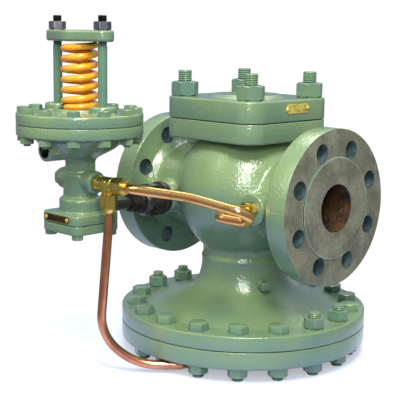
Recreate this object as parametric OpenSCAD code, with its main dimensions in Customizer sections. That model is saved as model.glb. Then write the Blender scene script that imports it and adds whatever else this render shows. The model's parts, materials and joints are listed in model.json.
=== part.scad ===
// Pilot-operated, diaphragm-actuated pressure reducing valve for steam.
// Origin: centre of the inlet flange's raised face. +X is the flow direction, +Z is up.
// Everything is in millimetres.

/* [Pipe ends] */
// Distance between the two raised faces
face_to_face = 254; // [246:1:266]
// Outside diameter of the pipe flanges
pipe_flange_d = 165.1; // [160:0.1:170]
// Thickness of a pipe flange with its raised face
pipe_flange_t = 26; // [22:0.5:28]
// Diameter of the raised face
raised_face_d = 106.4; // [100:0.1:108]
// Height of the raised face
raised_face_h = 1.6; // [1:0.1:3]
// Bore of the pipe ends
pipe_bore_d = 50.8; // [46:0.1:54]
// Bolt circle of the pipe flanges
pipe_bolt_circle = 127; // [124:0.5:130]
// Bolt hole of the pipe flanges
pipe_bolt_hole_d = 19.05; // [16:0.05:19.05]
// Extra diameter of the holes drilled in the outlet flange
outlet_hole_extra = 0.35; // [0.35:0.05:0.8]
// Number of holes in a pipe flange
pipe_bolts = 8; // [4:4:8]

/* [Valve body] */
// Radius of the globe-shaped middle
globe_r = 77; // [74:1:79]
// Radius of the neck behind a pipe flange
neck_r = 48; // [44:1:50]
// Half side of the square top flange
top_half = 67; // [66:0.5:68]
// Corner radius of the square top flange
top_corner_r = 22; // [20:1:24]
// Height of the face under the top cover
top_face_z = 84.6; // [82:0.2:88]
// Thickness of the square top flange
top_flange_t = 21.1; // [18:0.1:23]
// Thickness of the top cover
cover_t = 23.2; // [20:0.2:26]
// Half spacing of the cover studs
cover_stud_half = 48.45; // [46:0.05:50]

/* [Main diaphragm casing] */
// Radius of the big diaphragm flanges
casing_r = 137.3; // [134:0.1:140]
// Top of the body's diaphragm flange
casing_top_z = -124.6; // [-126:0.1:-122]
// Joint face under the body's diaphragm flange
casing_joint_z = -140.5; // [-142:0.1:-139]
// Thickness of the lower cover's rim
lower_rim_t = 18.9; // [16:0.1:20]
// Radius of the casing's bolt circle
casing_bolt_r = 120.9; // [119:0.1:123]
// Lift of the main valve from closed to wide open
main_lift = 7; // [4:0.5:7]

/* [Pilot] */
// Pilot axis, along the pipe from the inlet face
pilot_x = 53; // [51:0.5:55]
// Pilot axis, across the pipe
pilot_y = -175; // [-178:0.5:-172]
// Radius of the pilot's diaphragm flanges
pilot_flange_r = 65.6; // [64:0.1:68]
// Number of pilot flange bolts
pilot_bolts = 12; // [8:4:12]
// Half spacing of the adjusting studs
adjust_half = 36.5; // [36:0.5:37]
// Underside of the yoke plate when the spring is relaxed
yoke_z = 166.8; // [160:0.2:170]
// Outside diameter of the range spring
range_spring_d = 39; // [36:0.5:40]
// Wire of the range spring
range_wire_d = 6.9; // [5:0.05:7]
// Travel of the pilot valve
pilot_stroke = 1.5; // [1:0.1:1.5]

/* [Piping] */
// Outside diameter of the copper tubes
tube_d = 9.525; // [9.5:0.005:9.525]
// Wall of the copper tubes
tube_wall = 0.89; // [0.7:0.01:1.2]
// Height of the pilot's outlet and of the tee
tee_z = 24; // [23:0.5:25]
// Height of the union between pilot and body
union_z = -8; // [-9:0.5:-7]
// Height of the bleed connection on the outlet side
bleed_z = -1.5; // [-2:0.5:0]
// Height of the loading tube where it passes under the casing
underpass_z = -166.5; // [-167:0.1:-166]

/* [Hidden] */
$fn = 72;

green = [0.45, 0.60, 0.44];
copper = [0.80, 0.46, 0.28];
gold = [0.78, 0.64, 0.25];
steel = [0.62, 0.63, 0.65];
black_iron = [0.14, 0.13, 0.13];
orange = [0.95, 0.55, 0.12];
sheet = [0.50, 0.50, 0.48];

mid_x = face_to_face / 2;       // stem axis of the main valve
gap = 0.02;                     // radial gap of a fixed fit
run = 0.03;                     // radial gap of a sliding or turning fit
through = 0.5;                  // how far a cut runs past the face it opens

// Main valve, levels on the stem axis
cover_z = top_face_z + 0.8;
cover_top = cover_z + cover_t;
chamber_r = 38;                 // upper chamber, open to the top cover
chamber_floor = 22;
lower_chamber_r = 32;
lower_chamber_floor = -48;
seat_top = 26;
seat_bore_r = 19;
seat_r = 25;
web_bottom = -66;
stem_r = 6.35;
plate_r = 78;
plate_t = 8;
diaphragm_t = 0.8;
lower_cover_z = casing_joint_z - diaphragm_t;
lower_rim_z = lower_cover_z - lower_rim_t;
stance_z = lower_rim_z - 15.3;  // ends of the casing bolts, on which the valve stands
casing_bolt_d = 12.7;
casing_bolts = 18;              // bolts and studs together
casing_phase = 10;              // bolts straddle the pipe axis
stud_index = [0, 8, 9, 17];     // places under the pipe flanges that take studs
cover_stud_d = 15.875;
cover_stud_top = 136.2;

// Side connections of the body
inlet_port_x = pilot_x;
inlet_port_face = -57;
outlet_port_x = mid_x + 70;
outlet_port_face = -69;
quarter_thread_r = 6.85;        // nominal radius of a quarter-inch pipe thread
thread_depth = 12;
plug_angle = -23;
plug_z = -94;

// Pilot, levels on the pilot axis
pilot_joint_z = 82.9;
pilot_diaphragm_t = 0.6;
pilot_upper_z = pilot_joint_z + pilot_diaphragm_t;
pilot_flange_under = 71.2;
pilot_flange_top = 94.8;
boss_top = 102.8;
spring_seat_z = 96.5;
pilot_bolt_r = 58;
pilot_bolt_d = 7.94;
pilot_seat_z = 7;
pilot_floor = -18.5;
cap_z = pilot_floor - 0.4;
cap_bottom = -29;
control_z = 58;
control_face = 46;
outlet_boss_face = 27;
inlet_boss_face = 34;
square_half = 30;
adjust_stud_d = 9.525;
adjust_stud_top = 193;
yoke_t = 11.6;
adjust_nut_h = 8.6;
tee_x = pilot_x + 47;

function unit(v) = v / norm(v);
function perpendicular(v) = abs(v.z) < 0.9 ? unit(cross(v, [0, 0, 1])) : unit(cross(v, [1, 0, 0]));
function frame(x, y, z, o) = [[x.x, y.x, z.x, o.x], [x.y, y.y, z.y, o.y], [x.z, y.z, z.z, o.z],
    [0, 0, 0, 1]];
function limit(v, low, high) = max(low, min(high, v));

// Loading line under the casing: its elbow, and the corner just outside the bolt circle
elbow = [mid_x, 0, underpass_z];
underpass_corner = [mid_x + 25.5, -116.8, underpass_z];
underpass_way = unit(underpass_corner - elbow);

// ---------- shared shapes ----------

module at_stem() {
    translate([mid_x, 0, 0]) children();
}

module at_pilot() {
    translate([pilot_x, pilot_y, 0]) children();
}

module ring_of(count, radius, phase = 0) {
    for (i = [0 : count - 1])
        rotate([0, 0, phase + i * 360 / count]) translate([radius, 0, 0]) children();
}

module four_corners(half) {
    for (x = [-half, half], y = [-half, half]) translate([x, y, 0]) children();
}

// A round bar from one height to another
module bar(r, from, to) {
    translate([0, 0, min(from, to)]) cylinder(r = r, h = abs(to - from));
}

// A tapered round bar
module taper(r_from, r_to, from, to) {
    translate([0, 0, from]) cylinder(r1 = r_from, r2 = r_to, h = to - from);
}

// A hexagonal bar, size measured across its flats, with its flats facing +Y and -Y
module hex_bar(across_flats, from, to) {
    translate([0, 0, min(from, to)])
        cylinder(r = across_flats / sqrt(3), h = abs(to - from), $fn = 6);
}

// Turned envelope that chamfers a hexagon's corners at the top, and below if wanted
module chamfer_envelope(across_flats, height, both) {
    corner_r = across_flats / sqrt(3);
    chamfer = (corner_r - across_flats / 2) * 0.6;
    face_r = corner_r - 2 * chamfer;
    rotate_extrude() polygon(concat(
        both ? [[0, 0], [face_r, 0], [corner_r + 0.1, chamfer + 0.05]] : [[0, 0], [corner_r + 0.1, 0]],
        [[corner_r + 0.1, height - chamfer - 0.05], [face_r, height], [0, height]]
    ));
}

// A hexagonal nut with chamfered corners at both ends
module hex_nut(across_flats, height, bore_r) {
    difference() {
        intersection() {
            hex_bar(across_flats, 0, height);
            chamfer_envelope(across_flats, height, true);
        }
        bar(bore_r, -through, height + through);
    }
}

// A hexagonal bolt head, chamfered on top
module hex_head(across_flats, height) {
    intersection() {
        hex_bar(across_flats, 0, height);
        chamfer_envelope(across_flats, height, false);
    }
}

// A square plate with round corners
module round_square(half, corner_r, from, to) {
    translate([0, 0, from]) linear_extrude(to - from) union() {
        square([2 * half, 2 * (half - corner_r)], center = true);
        square([2 * (half - corner_r), 2 * half], center = true);
        for (x = [-1, 1], y = [-1, 1])
            translate([x * (half - corner_r), y * (half - corner_r)]) circle(corner_r);
    }
}

// Points the shape's +Z axis along a direction
module aim(origin, direction) {
    z = unit(direction);
    x = perpendicular(z);
    multmatrix(frame(x, cross(z, x), z, origin)) children();
}

// A round rod along straight legs, with one bend radius for each inner corner.
// The legs are a hair thinner than the bends and lap into them, so that all of it fuses.
module bent_rod(corners, bends, r) {
    lap = 0.4;
    thinner = 0.02;
    last = len(corners) - 1;
    way = [for (i = [0 : last - 1]) unit(corners[i + 1] - corners[i])];
    turn = [for (i = [1 : last - 1]) acos(way[i - 1] * way[i])];
    cut = [for (i = [0 : last]) (i == 0 || i == last) ? 0 : bends[i - 1] * tan(turn[i - 1] / 2)];
    for (i = [0 : last - 1])
        let (from = i == 0 ? 0 : cut[i] - lap, to = i == last - 1 ? 0 : cut[i + 1] - lap)
            aim(corners[i] + way[i] * from, way[i])
                cylinder(r = r - thinner, h = norm(corners[i + 1] - corners[i]) - from - to);
    for (i = [1 : last - 1])
        let (u = way[i - 1], w = way[i], n = unit(w - (w * u) * u),
            centre = corners[i] - u * cut[i] + n * bends[i - 1])
            multmatrix(frame(-n, u, cross(-n, u), centre))
                rotate_extrude(angle = turn[i - 1]) translate([bends[i - 1], 0]) circle(r);
}

// A right-handed coil spring with closed ends, standing on z = 0
module coil(outer_d, wire_d, height, turns, steps = 22, sides = 8, closed = [1, 1]) {
    count = round(turns * steps);
    ends = closed[0] + closed[1];
    pitch = (height - (1 + ends) * wire_d) / (turns - ends);
    mean_r = (outer_d - wire_d) / 2;
    function rise(t) = wire_d / 2
        + wire_d * (limit(t, 0, closed[0]) + limit(t - turns + closed[1], 0, closed[1]))
        + pitch * limit(t - closed[0], 0, turns - ends);
    rings = [for (i = [0 : count]) for (j = [0 : sides - 1])
        let (t = i / steps, a = 360 * t, b = 360 * j / sides, r = mean_r + cos(b) * wire_d / 2)
            [r * cos(a), r * sin(a), rise(t) + sin(b) * wire_d / 2]];
    skin = [for (i = [0 : count - 1]) for (j = [0 : sides - 1])
        let (k = (j + 1) % sides)
            [i * sides + j, (i + 1) * sides + j, (i + 1) * sides + k, i * sides + k]];
    first_end = [for (j = [0 : sides - 1]) j];
    last_end = [for (j = [0 : sides - 1]) count * sides + sides - 1 - j];
    polyhedron(points = rings, faces = concat([first_end], skin, [last_end]), convexity = 8);
}

// ---------- main valve ----------

// One pipe end, starting at its raised face and running along +Z
module pipe_end() {
    rotate_extrude() polygon([
        [0, 0], [raised_face_d / 2, 0], [raised_face_d / 2, raised_face_h],
        [pipe_flange_d / 2, raised_face_h], [pipe_flange_d / 2, pipe_flange_t],
        [neck_r + 9, pipe_flange_t], [neck_r + 3, pipe_flange_t + 2.5],
        [neck_r, pipe_flange_t + 9], [neck_r, mid_x - 20], [0, mid_x - 20]
    ]);
}

// Globe, waist and the bell that widens into the diaphragm flange
module body_of_revolution() {
    translate([0, 0, 5]) sphere(r = globe_r);
    bar(50, 40, top_face_z - 1);
    rotate_extrude() polygon([
        [0, -40], [52, -50], [47.5, -58], [46.5, -64], [46.5, -72], [47.5, -82], [50, -93],
        [54.5, -101], [62, -107], [74, -111.5], [90, -116], [102, -120], [110, casing_top_z],
        [0, casing_top_z]
    ]);
    bar(casing_r, casing_joint_z, casing_top_z);
}

module bell_cavity() {
    rotate_extrude() polygon([
        [0, web_bottom], [33, web_bottom], [34, -80], [36, -92], [41, -104], [50, -113],
        [64, -119], [80, -123.5], [94, -128], [100, -132], [100, casing_joint_z - through],
        [0, casing_joint_z - through]
    ]);
}

// Passages from the inlet up to the chamber, down through the seat and out
module flow_passages() {
    rotate([0, 90, 0]) bar(pipe_bore_d / 2, -mid_x - through, -84);
    translate([-84, 0, 0]) sphere(r = pipe_bore_d / 2);
    aim([-88, 0, 0], [60, 0, 46]) bar(21, 0, 68);
    bar(chamber_r, chamber_floor, top_face_z + through);
    bar(seat_r + gap, 6, chamber_floor + through);
    bar(lower_chamber_r, lower_chamber_floor, 8);
    aim([66, 0, 0], [-52, 0, -22]) bar(24, 0, 56);
    translate([66, 0, 0]) sphere(r = pipe_bore_d / 2);
    rotate([0, 90, 0]) bar(pipe_bore_d / 2, 66, mid_x + through);
}

// A side port: a threaded mouth and a smaller drilled passage, running along +Y
module side_port(x, z, face_y, depth) {
    translate([x, face_y, z]) rotate([-90, 0, 0]) {
        bar(quarter_thread_r + gap, -through, thread_depth);
        bar(5, 0, depth);
    }
}

module valve_body() {
    color(green) difference() {
        union() {
            at_stem() {
                body_of_revolution();
                round_square(top_half, top_corner_r, top_face_z - top_flange_t, top_face_z);
            }
            rotate([0, 90, 0]) pipe_end();
            translate([face_to_face, 0, 0]) rotate([0, -90, 0]) pipe_end();
            translate([inlet_port_x, inlet_port_face, union_z]) rotate([-90, 0, 0]) bar(19, 0, 30);
            translate([outlet_port_x, outlet_port_face, bleed_z]) rotate([-90, 0, 0]) bar(17, 0, 40);
        }
        at_stem() {
            flow_passages();
            bell_cavity();
            bar(11 + gap, web_bottom - through, lower_chamber_floor + through);
            four_corners(cover_stud_half) bar(cover_stud_d / 2 + gap, 66, top_face_z + through);
            ring_of(casing_bolts, casing_bolt_r, casing_phase)
                bar(6.75, casing_joint_z - through, casing_top_z + through);
            rotate([0, 0, plug_angle]) translate([0, 0, plug_z]) rotate([0, 90, 0])
                bar(6.9 + gap, 30, 60);
        }
        side_port(inlet_port_x, union_z, inlet_port_face, 36);
        side_port(outlet_port_x, bleed_z, outlet_port_face, 48);
        for (end = [0, 1])
            translate([end * (face_to_face - pipe_flange_t) - through, 0, 0]) rotate([0, 90, 0])
                ring_of(pipe_bolts, pipe_bolt_circle / 2, 180 / pipe_bolts)
                    bar((pipe_bolt_hole_d + end * outlet_hole_extra) / 2, 0, pipe_flange_t + 2 * through);
    }
}

module top_cover() {
    color(green) at_stem() difference() {
        union() {
            round_square(top_half, top_corner_r, cover_z, cover_top);
            taper(42, 38, cover_top, cover_top + 3);
        }
        bar(19, cover_z - through, cover_z + 12);
        four_corners(cover_stud_half) bar(8.6, cover_z - through, cover_top + through);
    }
}

module cover_gasket() {
    color(sheet) at_stem() difference() {
        round_square(top_half - 1.5, top_corner_r - 1.5, top_face_z, cover_z);
        bar(chamber_r + 2, top_face_z - through, cover_z + through);
        four_corners(cover_stud_half) bar(8.6, top_face_z - through, cover_z + through);
    }
}

module cover_studs() {
    color(green) at_stem() four_corners(cover_stud_half) {
        bar(cover_stud_d / 2, 67, cover_stud_top - 1.2);
        taper(cover_stud_d / 2, cover_stud_d / 2 - 1.2, cover_stud_top - 1.2, cover_stud_top);
    }
}

module cover_nuts() {
    color(green) at_stem() four_corners(cover_stud_half) translate([0, 0, cover_top])
        hex_nut(27, 15.5, cover_stud_d / 2 + gap);
}

module cover_nameplate() {
    color(gold) at_stem() translate([top_half, 6, cover_z + 13.4]) rotate([90, 0, 90])
        difference() {
            linear_extrude(0.8) union() {
                square([33, 10], center = true);
                square([38, 5], center = true);
            }
            for (y = [-16.5, 16.5]) translate([y, 0, 0]) bar(1.25, -through, 1.3);
        }
}

module cover_nameplate_pins() {
    color(gold) at_stem() for (y = [-16.5, 16.5])
        translate([top_half, 6 + y, cover_z + 13.4]) rotate([0, 90, 0]) {
            bar(1.2, 0, 0.8);
            taper(2.4, 1.2, 0.8, 2);
        }
}

module seat_ring() {
    color(steel) at_stem() difference() {
        union() {
            bar(seat_r, 6, chamber_floor);
            bar(28, chamber_floor, seat_top - 1.5);
            taper(24, 21, seat_top - 1.5, seat_top);
        }
        bar(seat_bore_r, 5, seat_top + through);
    }
}

module main_disc() {
    color(steel) at_stem() difference() {
        union() {
            bar(24, seat_top, seat_top + 7);
            taper(24, 14, seat_top + 7, seat_top + 9);
            bar(12, seat_top + 9, seat_top + 12);
        }
        bar(stem_r + gap, seat_top - through, seat_top + 13);
    }
}

module main_stem() {
    color(steel) at_stem() {
        bar(stem_r, casing_joint_z + 1, 46.5);
        bar(9, 18, seat_top);
    }
}

module stem_nut() {
    color(steel) at_stem() translate([0, 0, seat_top + 12]) hex_nut(19.05, 7, stem_r + gap);
}

module stem_guide() {
    color(gold) at_stem() difference() {
        union() {
            bar(11, web_bottom, lower_chamber_floor);
            bar(14, lower_chamber_floor, lower_chamber_floor + 3);
        }
        bar(stem_r + run, web_bottom - through, lower_chamber_floor + 4);
    }
}

module main_spring() {
    color(steel) at_stem() translate([0, 0, seat_top + 9])
        coil(34, 3.4, cover_z + 12 - seat_top - 9, 7.5, 18, 6);
}

module pressure_plate() {
    color(steel) at_stem() difference() {
        union() {
            bar(plate_r, casing_joint_z, casing_joint_z + plate_t);
            taper(30, 16, casing_joint_z + plate_t, casing_joint_z + plate_t + 12);
        }
        bar(stem_r + gap, casing_joint_z + 1 - gap, casing_joint_z + 30);
    }
}

module main_diaphragm() {
    color(sheet) at_stem() difference() {
        bar(casing_r - 1.5, lower_cover_z, casing_joint_z);
        ring_of(casing_bolts, casing_bolt_r, casing_phase)
            bar(6.75, lower_cover_z - through, casing_joint_z + through);
    }
}

module lower_cover() {
    color(green) at_stem() difference() {
        bar(casing_r, lower_rim_z, lower_cover_z);
        bar(95, lower_cover_z - 5, lower_cover_z + through);
        difference() {
            taper(106, 97, lower_rim_z - through, lower_rim_z + 6);
            bar(17, lower_rim_z + 2, lower_rim_z + 7);
        }
        bar(quarter_thread_r + gap, lower_rim_z - through, lower_cover_z);
        ring_of(casing_bolts, casing_bolt_r, casing_phase)
            bar(6.75, lower_rim_z - through, lower_cover_z + through);
    }
}

// Casing bolts fill every place that no stud takes
module flange_bolts() {
    color(green) at_stem() for (i = [0 : casing_bolts - 1])
        if (len(search(i, stud_index)) == 0)
            rotate([0, 0, casing_phase + i * 360 / casing_bolts])
                translate([casing_bolt_r, 0, 0]) {
                    bar(casing_bolt_d / 2, stance_z + 1, casing_top_z);
                    taper(casing_bolt_d / 2 - 1, casing_bolt_d / 2, stance_z, stance_z + 1);
                    translate([0, 0, casing_top_z]) hex_head(19.05, 7.9);
                }
}

module flange_studs() {
    color(green) at_stem() for (i = stud_index)
        rotate([0, 0, casing_phase + i * 360 / casing_bolts]) translate([casing_bolt_r, 0, 0]) {
            bar(casing_bolt_d / 2, stance_z + 1, casing_top_z + 15.5);
            taper(casing_bolt_d / 2 - 1, casing_bolt_d / 2, stance_z, stance_z + 1);
            taper(casing_bolt_d / 2, casing_bolt_d / 2 - 1, casing_top_z + 15.5, casing_top_z + 16.5);
        }
}

module flange_nuts() {
    nut_h = 11.1;
    color(green) at_stem() {
        ring_of(casing_bolts, casing_bolt_r, casing_phase) translate([0, 0, lower_rim_z - nut_h])
            hex_nut(19.05, nut_h, casing_bolt_d / 2 + gap);
        for (i = stud_index)
            rotate([0, 0, casing_phase + i * 360 / casing_bolts])
                translate([casing_bolt_r, 0, casing_top_z])
                    hex_nut(19.05, nut_h, casing_bolt_d / 2 + gap);
    }
}

module body_plug() {
    color(green) at_stem() rotate([0, 0, plug_angle]) translate([0, 0, plug_z]) rotate([0, 90, 0]) {
        bar(6.9, 40, 53);
        translate([0, 0, 56.5]) cube([9.6, 9.6, 8], center = true);
    }
}

// ---------- pilot ----------

module pilot_body() {
    color(green) at_pilot() difference() {
        union() {
            bar(pilot_flange_r, pilot_flange_under, pilot_joint_z);
            rotate_extrude() polygon([
                [0, 26], [15.7, 26], [15.7, 44], [18, 47.5], [24, 51], [36, 57.5], [44, 64],
                [47, 68], [48, pilot_flange_under + 1], [0, pilot_flange_under + 1]
            ]);
            bar(18, -2, 33);
            rotate_extrude() polygon([
                [0, pilot_floor + 5], [22.2, pilot_floor + 5], [22.2, 3.5], [20.5, 5.5],
                [17, 7], [0, 7]
            ]);
            round_square(square_half, 9, pilot_floor, pilot_floor + 10);
            translate([0, 0, tee_z]) for (side = [-90, 90]) rotate([0, side, 0])
                bar(12, 0, outlet_boss_face);
            translate([0, 0, union_z]) rotate([-90, 0, 0]) bar(10, 0, inlet_boss_face);
            translate([0, 0, control_z]) rotate([90, 0, 0]) bar(11.5, 0, control_face);
        }
        taper(30, 44, 71, 73);
        bar(44, 73 - 0.01, pilot_joint_z + through);
        bar(8, 46, 71 + through);
        bar(6 + gap, 34 - through, 46 + through);
        bar(9.5, 14, 34);
        bar(8 + gap, pilot_seat_z - through, 14 + through);
        bar(13, pilot_floor - through, pilot_seat_z);
        translate([0, 0, tee_z]) for (side = [-90, 90]) rotate([0, side, 0]) {
            bar(quarter_thread_r + gap, outlet_boss_face - thread_depth, outlet_boss_face + through);
            bar(5, 0, outlet_boss_face);
        }
        translate([0, 0, union_z]) rotate([-90, 0, 0]) {
            bar(quarter_thread_r + gap, inlet_boss_face - thread_depth, inlet_boss_face + through);
            bar(5, 0, inlet_boss_face);
        }
        translate([0, 0, control_z]) rotate([90, 0, 0]) {
            bar(quarter_thread_r, control_face - thread_depth, control_face + through);
            bar(4, 0, control_face);
        }
        ring_of(pilot_bolts, pilot_bolt_r, 180 / pilot_bolts)
            bar(4.2, pilot_flange_under - through, pilot_joint_z + through);
        four_corners(22) bar(3.2 + gap, pilot_floor - through, pilot_floor + 8);
    }
}

module pilot_upper_flange() {
    color(green) at_pilot() difference() {
        union() {
            bar(pilot_flange_r, pilot_upper_z, pilot_flange_top);
            bar(27, pilot_upper_z, spring_seat_z + 2.5);
            translate([0, 0, pilot_flange_top - 1]) linear_extrude(boss_top - pilot_flange_top + 1)
                for (x = [-adjust_half, adjust_half]) translate([x, 0]) circle(14);
        }
        bar(42, pilot_upper_z - through, pilot_upper_z + 5);
        bar(23, pilot_upper_z, boss_top + through);
        for (x = [-adjust_half, adjust_half]) translate([x, 0, 0])
            bar(adjust_stud_d / 2 + gap, 90, boss_top + through);
        ring_of(pilot_bolts, pilot_bolt_r, 180 / pilot_bolts)
            bar(4.2, pilot_upper_z - through, pilot_flange_top + through);
    }
}

module pilot_diaphragm() {
    color(sheet) at_pilot() difference() {
        bar(pilot_flange_r - 1.2, pilot_joint_z, pilot_upper_z);
        ring_of(pilot_bolts, pilot_bolt_r, 180 / pilot_bolts)
            bar(4.2, pilot_joint_z - through, pilot_upper_z + through);
    }
}

module pilot_spring_button() {
    color(steel) at_pilot() {
        bar(32, pilot_upper_z, pilot_upper_z + 3);
        bar(12, pilot_upper_z + 3, spring_seat_z - 3.5);
        bar(20, spring_seat_z - 3.5, spring_seat_z);
    }
}

module pilot_flange_bolts() {
    color(green) at_pilot() ring_of(pilot_bolts, pilot_bolt_r, 180 / pilot_bolts) {
        bar(pilot_bolt_d / 2, pilot_flange_under - 9, pilot_flange_top);
        translate([0, 0, pilot_flange_top]) hex_head(12.7, 5.3);
    }
}

module pilot_flange_nuts() {
    color(green) at_pilot() ring_of(pilot_bolts, pilot_bolt_r, 180 / pilot_bolts)
        translate([0, 0, pilot_flange_under - 6.8]) hex_nut(12.7, 6.8, pilot_bolt_d / 2 + gap);
}

module adjusting_studs() {
    color(green) at_pilot() for (x = [-adjust_half, adjust_half]) translate([x, 0, 0]) {
        bar(adjust_stud_d / 2, 91, adjust_stud_top - 1);
        taper(adjust_stud_d / 2, adjust_stud_d / 2 - 1, adjust_stud_top - 1, adjust_stud_top);
    }
}

module yoke_plate() {
    color(green) at_pilot() translate([0, 0, yoke_z]) difference() {
        linear_extrude(yoke_t) hull() {
            circle(20.5, $fn = 48);
            for (x = [-adjust_half, adjust_half]) translate([x, 0]) circle(11.5, $fn = 48);
        }
        for (x = [-adjust_half, adjust_half]) translate([x, 0, 0])
            bar(adjust_stud_d / 2 + 0.4, -through, yoke_t + through);
    }
}

module adjusting_nut(x) {
    color(steel) at_pilot() translate([x, 0, yoke_z + yoke_t])
        hex_nut(15.9, adjust_nut_h, adjust_stud_d / 2 + run);
}

module adjusting_nut_left() {
    adjusting_nut(-adjust_half);
}

module adjusting_nut_right() {
    adjusting_nut(adjust_half);
}

module range_spring() {
    color(orange) at_pilot() translate([0, 0, spring_seat_z])
        rotate([0, 0, 262])
            coil(range_spring_d, range_wire_d, yoke_z - spring_seat_z, 6.4, 28, 10, [0.8, 0.4]);
}

module pilot_stem() {
    color(steel) at_pilot() {
        bar(2.4, pilot_seat_z - pilot_stroke, 74);
        bar(7, 74, 78);
        bar(20, 78, pilot_joint_z);
    }
}

module pilot_stem_guide() {
    color(gold) at_pilot() difference() {
        bar(6, 34, 47);
        bar(2.4 + run, 33, 48);
    }
}

module pilot_disc() {
    color(steel) at_pilot() {
        bar(7, pilot_seat_z - pilot_stroke - 5, pilot_seat_z - pilot_stroke);
        bar(3.5, pilot_seat_z - pilot_stroke - 11, pilot_seat_z - pilot_stroke - 5);
    }
}

module pilot_seat() {
    color(steel) at_pilot() difference() {
        bar(8, pilot_seat_z, 15);
        bar(4.5, pilot_seat_z - through, 16);
    }
}

module pilot_return_spring() {
    color(steel) at_pilot() translate([0, 0, cap_z - 4])
        coil(12, 1.4, pilot_seat_z - pilot_stroke - 5 - cap_z + 4, 6.5, 16, 6);
}

module pilot_strainer() {
    color(steel) at_pilot() difference() {
        bar(12.9, pilot_floor + 0.2, pilot_seat_z - 0.2);
        bar(12.3, pilot_floor, pilot_seat_z);
    }
}

module pilot_bottom_cap() {
    color(green) at_pilot() difference() {
        round_square(square_half, 9, cap_bottom, cap_z);
        bar(9, cap_z - 4, cap_z + through);
        four_corners(22) bar(3.4, cap_bottom - through, cap_z + through);
    }
}

module pilot_cap_gasket() {
    color(sheet) at_pilot() difference() {
        round_square(square_half - 1, 8, cap_z, pilot_floor);
        bar(13, cap_z - through, pilot_floor + through);
        four_corners(22) bar(3.4, cap_z - through, pilot_floor + through);
    }
}

module pilot_cap_screws() {
    color(green) at_pilot() four_corners(22) {
        bar(3.2, cap_bottom, pilot_floor + 7);
        translate([0, 0, cap_bottom]) mirror([0, 0, 1]) hex_head(11.1, 4.8);
    }
}

module pilot_nameplate() {
    color(gold) at_pilot() translate([-1.5, -square_half, pilot_floor + 5.2]) rotate([90, 0, 0])
        difference() {
            linear_extrude(0.8) union() {
                square([36, 7.6], center = true);
                square([40, 4], center = true);
            }
            for (x = [-17, 17]) translate([x, 0, 0]) bar(1.05, -through, 1.3);
        }
}

module pilot_nameplate_pins() {
    color(gold) at_pilot() for (x = [-17, 17])
        translate([x - 1.5, -square_half, pilot_floor + 5.2]) rotate([90, 0, 0]) {
            bar(1, 0, 0.8);
            taper(2, 1, 0.8, 1.8);
        }
}

module pilot_side_plug() {
    color(green) at_pilot() translate([0, 0, tee_z]) rotate([0, -90, 0]) {
        bar(quarter_thread_r, outlet_boss_face - 10, outlet_boss_face);
        translate([0, 0, outlet_boss_face]) hex_head(17.5, 6);
    }
}

// ---------- union between pilot and body ----------

// Shapes here run along +Y from the pilot to the body
module along_union() {
    translate([pilot_x, 0, union_z]) rotate([-90, 0, 0]) children();
}

module pilot_nipple() {
    color(black_iron) along_union() difference() {
        bar(quarter_thread_r, pilot_y + inlet_boss_face - 10, -98);
        bar(4.6, pilot_y, -90);
    }
}

module union_pilot_half() {
    color(black_iron) along_union() difference() {
        union() {
            hex_bar(20, -108, -95);
            bar(11, -95, -84);
            bar(15, -84, -80);
        }
        bar(quarter_thread_r + gap, -108 - through, -97.5);
        bar(4.6, -100, -79);
    }
}

module union_nut() {
    color(black_iron) along_union() difference() {
        union() {
            taper(14, 18, -92, -87);
            hex_bar(33.5, -87, -66);
        }
        bar(11 + gap, -93, -83);
        bar(15.5 + gap, -84, -65);
    }
}

module union_body_half() {
    color(black_iron) along_union() difference() {
        union() {
            bar(15.5, -79.9, -66);
            bar(19, -66, -59);
        }
        bar(4.6, -81, -58);
        bar(quarter_thread_r + gap, -68, -58);
    }
}

module body_nipple() {
    color(black_iron) along_union() difference() {
        bar(quarter_thread_r, -67.5, inlet_port_face + 10);
        bar(4.6, -69, -40);
    }
}

// ---------- copper lines and brass fittings ----------

// A compression nut along +Z: hexagon first, then a nose where the tube leaves
module tube_nut(length = 14, nose = 4) {
    difference() {
        union() {
            hex_bar(15.9, 0, length);
            taper(7.2, 5.9, length, length + nose);
        }
        bar(6.6 + gap, -through, length - 4);
        bar(tube_d / 2 + gap, -through, length + nose + through);
    }
}

module tee_fitting() {
    leg = 9.5;                     // height of the down leg's mouth
    color(gold) translate([0, pilot_y, tee_z]) difference() {
        union() {
            rotate([0, 90, 0]) {
                bar(quarter_thread_r, pilot_x + outlet_boss_face - 10, pilot_x + outlet_boss_face);
                hex_bar(14.3, pilot_x + outlet_boss_face, pilot_x + outlet_boss_face + 4.5);
                bar(6.9, pilot_x + outlet_boss_face + 4.5, tee_x + 9);
                bar(6.6, tee_x + 8, tee_x + 17);
            }
            translate([tee_x, 0, 0]) {
                sphere(r = 8.2);
                bar(6.9, -leg, 0);
                bar(6.6, -leg - 8, -leg);
            }
        }
        rotate([0, 90, 0]) {
            bar(3.9, pilot_x + outlet_boss_face - 11, tee_x + 18);
            bar(tube_d / 2 + gap, tee_x + 12, tee_x + 18);
        }
        translate([tee_x, 0, 0]) {
            bar(3.9, -leg - 9, 0);
            bar(tube_d / 2 + gap, -leg - 9, -leg - 3);
        }
    }
}

module tee_nuts() {
    color(gold) translate([tee_x, pilot_y, tee_z]) {
        translate([9, 0, 0]) rotate([0, 90, 0]) tube_nut(15, 4);
        translate([0, 0, -9.5]) rotate([180, 0, 0]) tube_nut(15, 4);
    }
}

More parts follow.
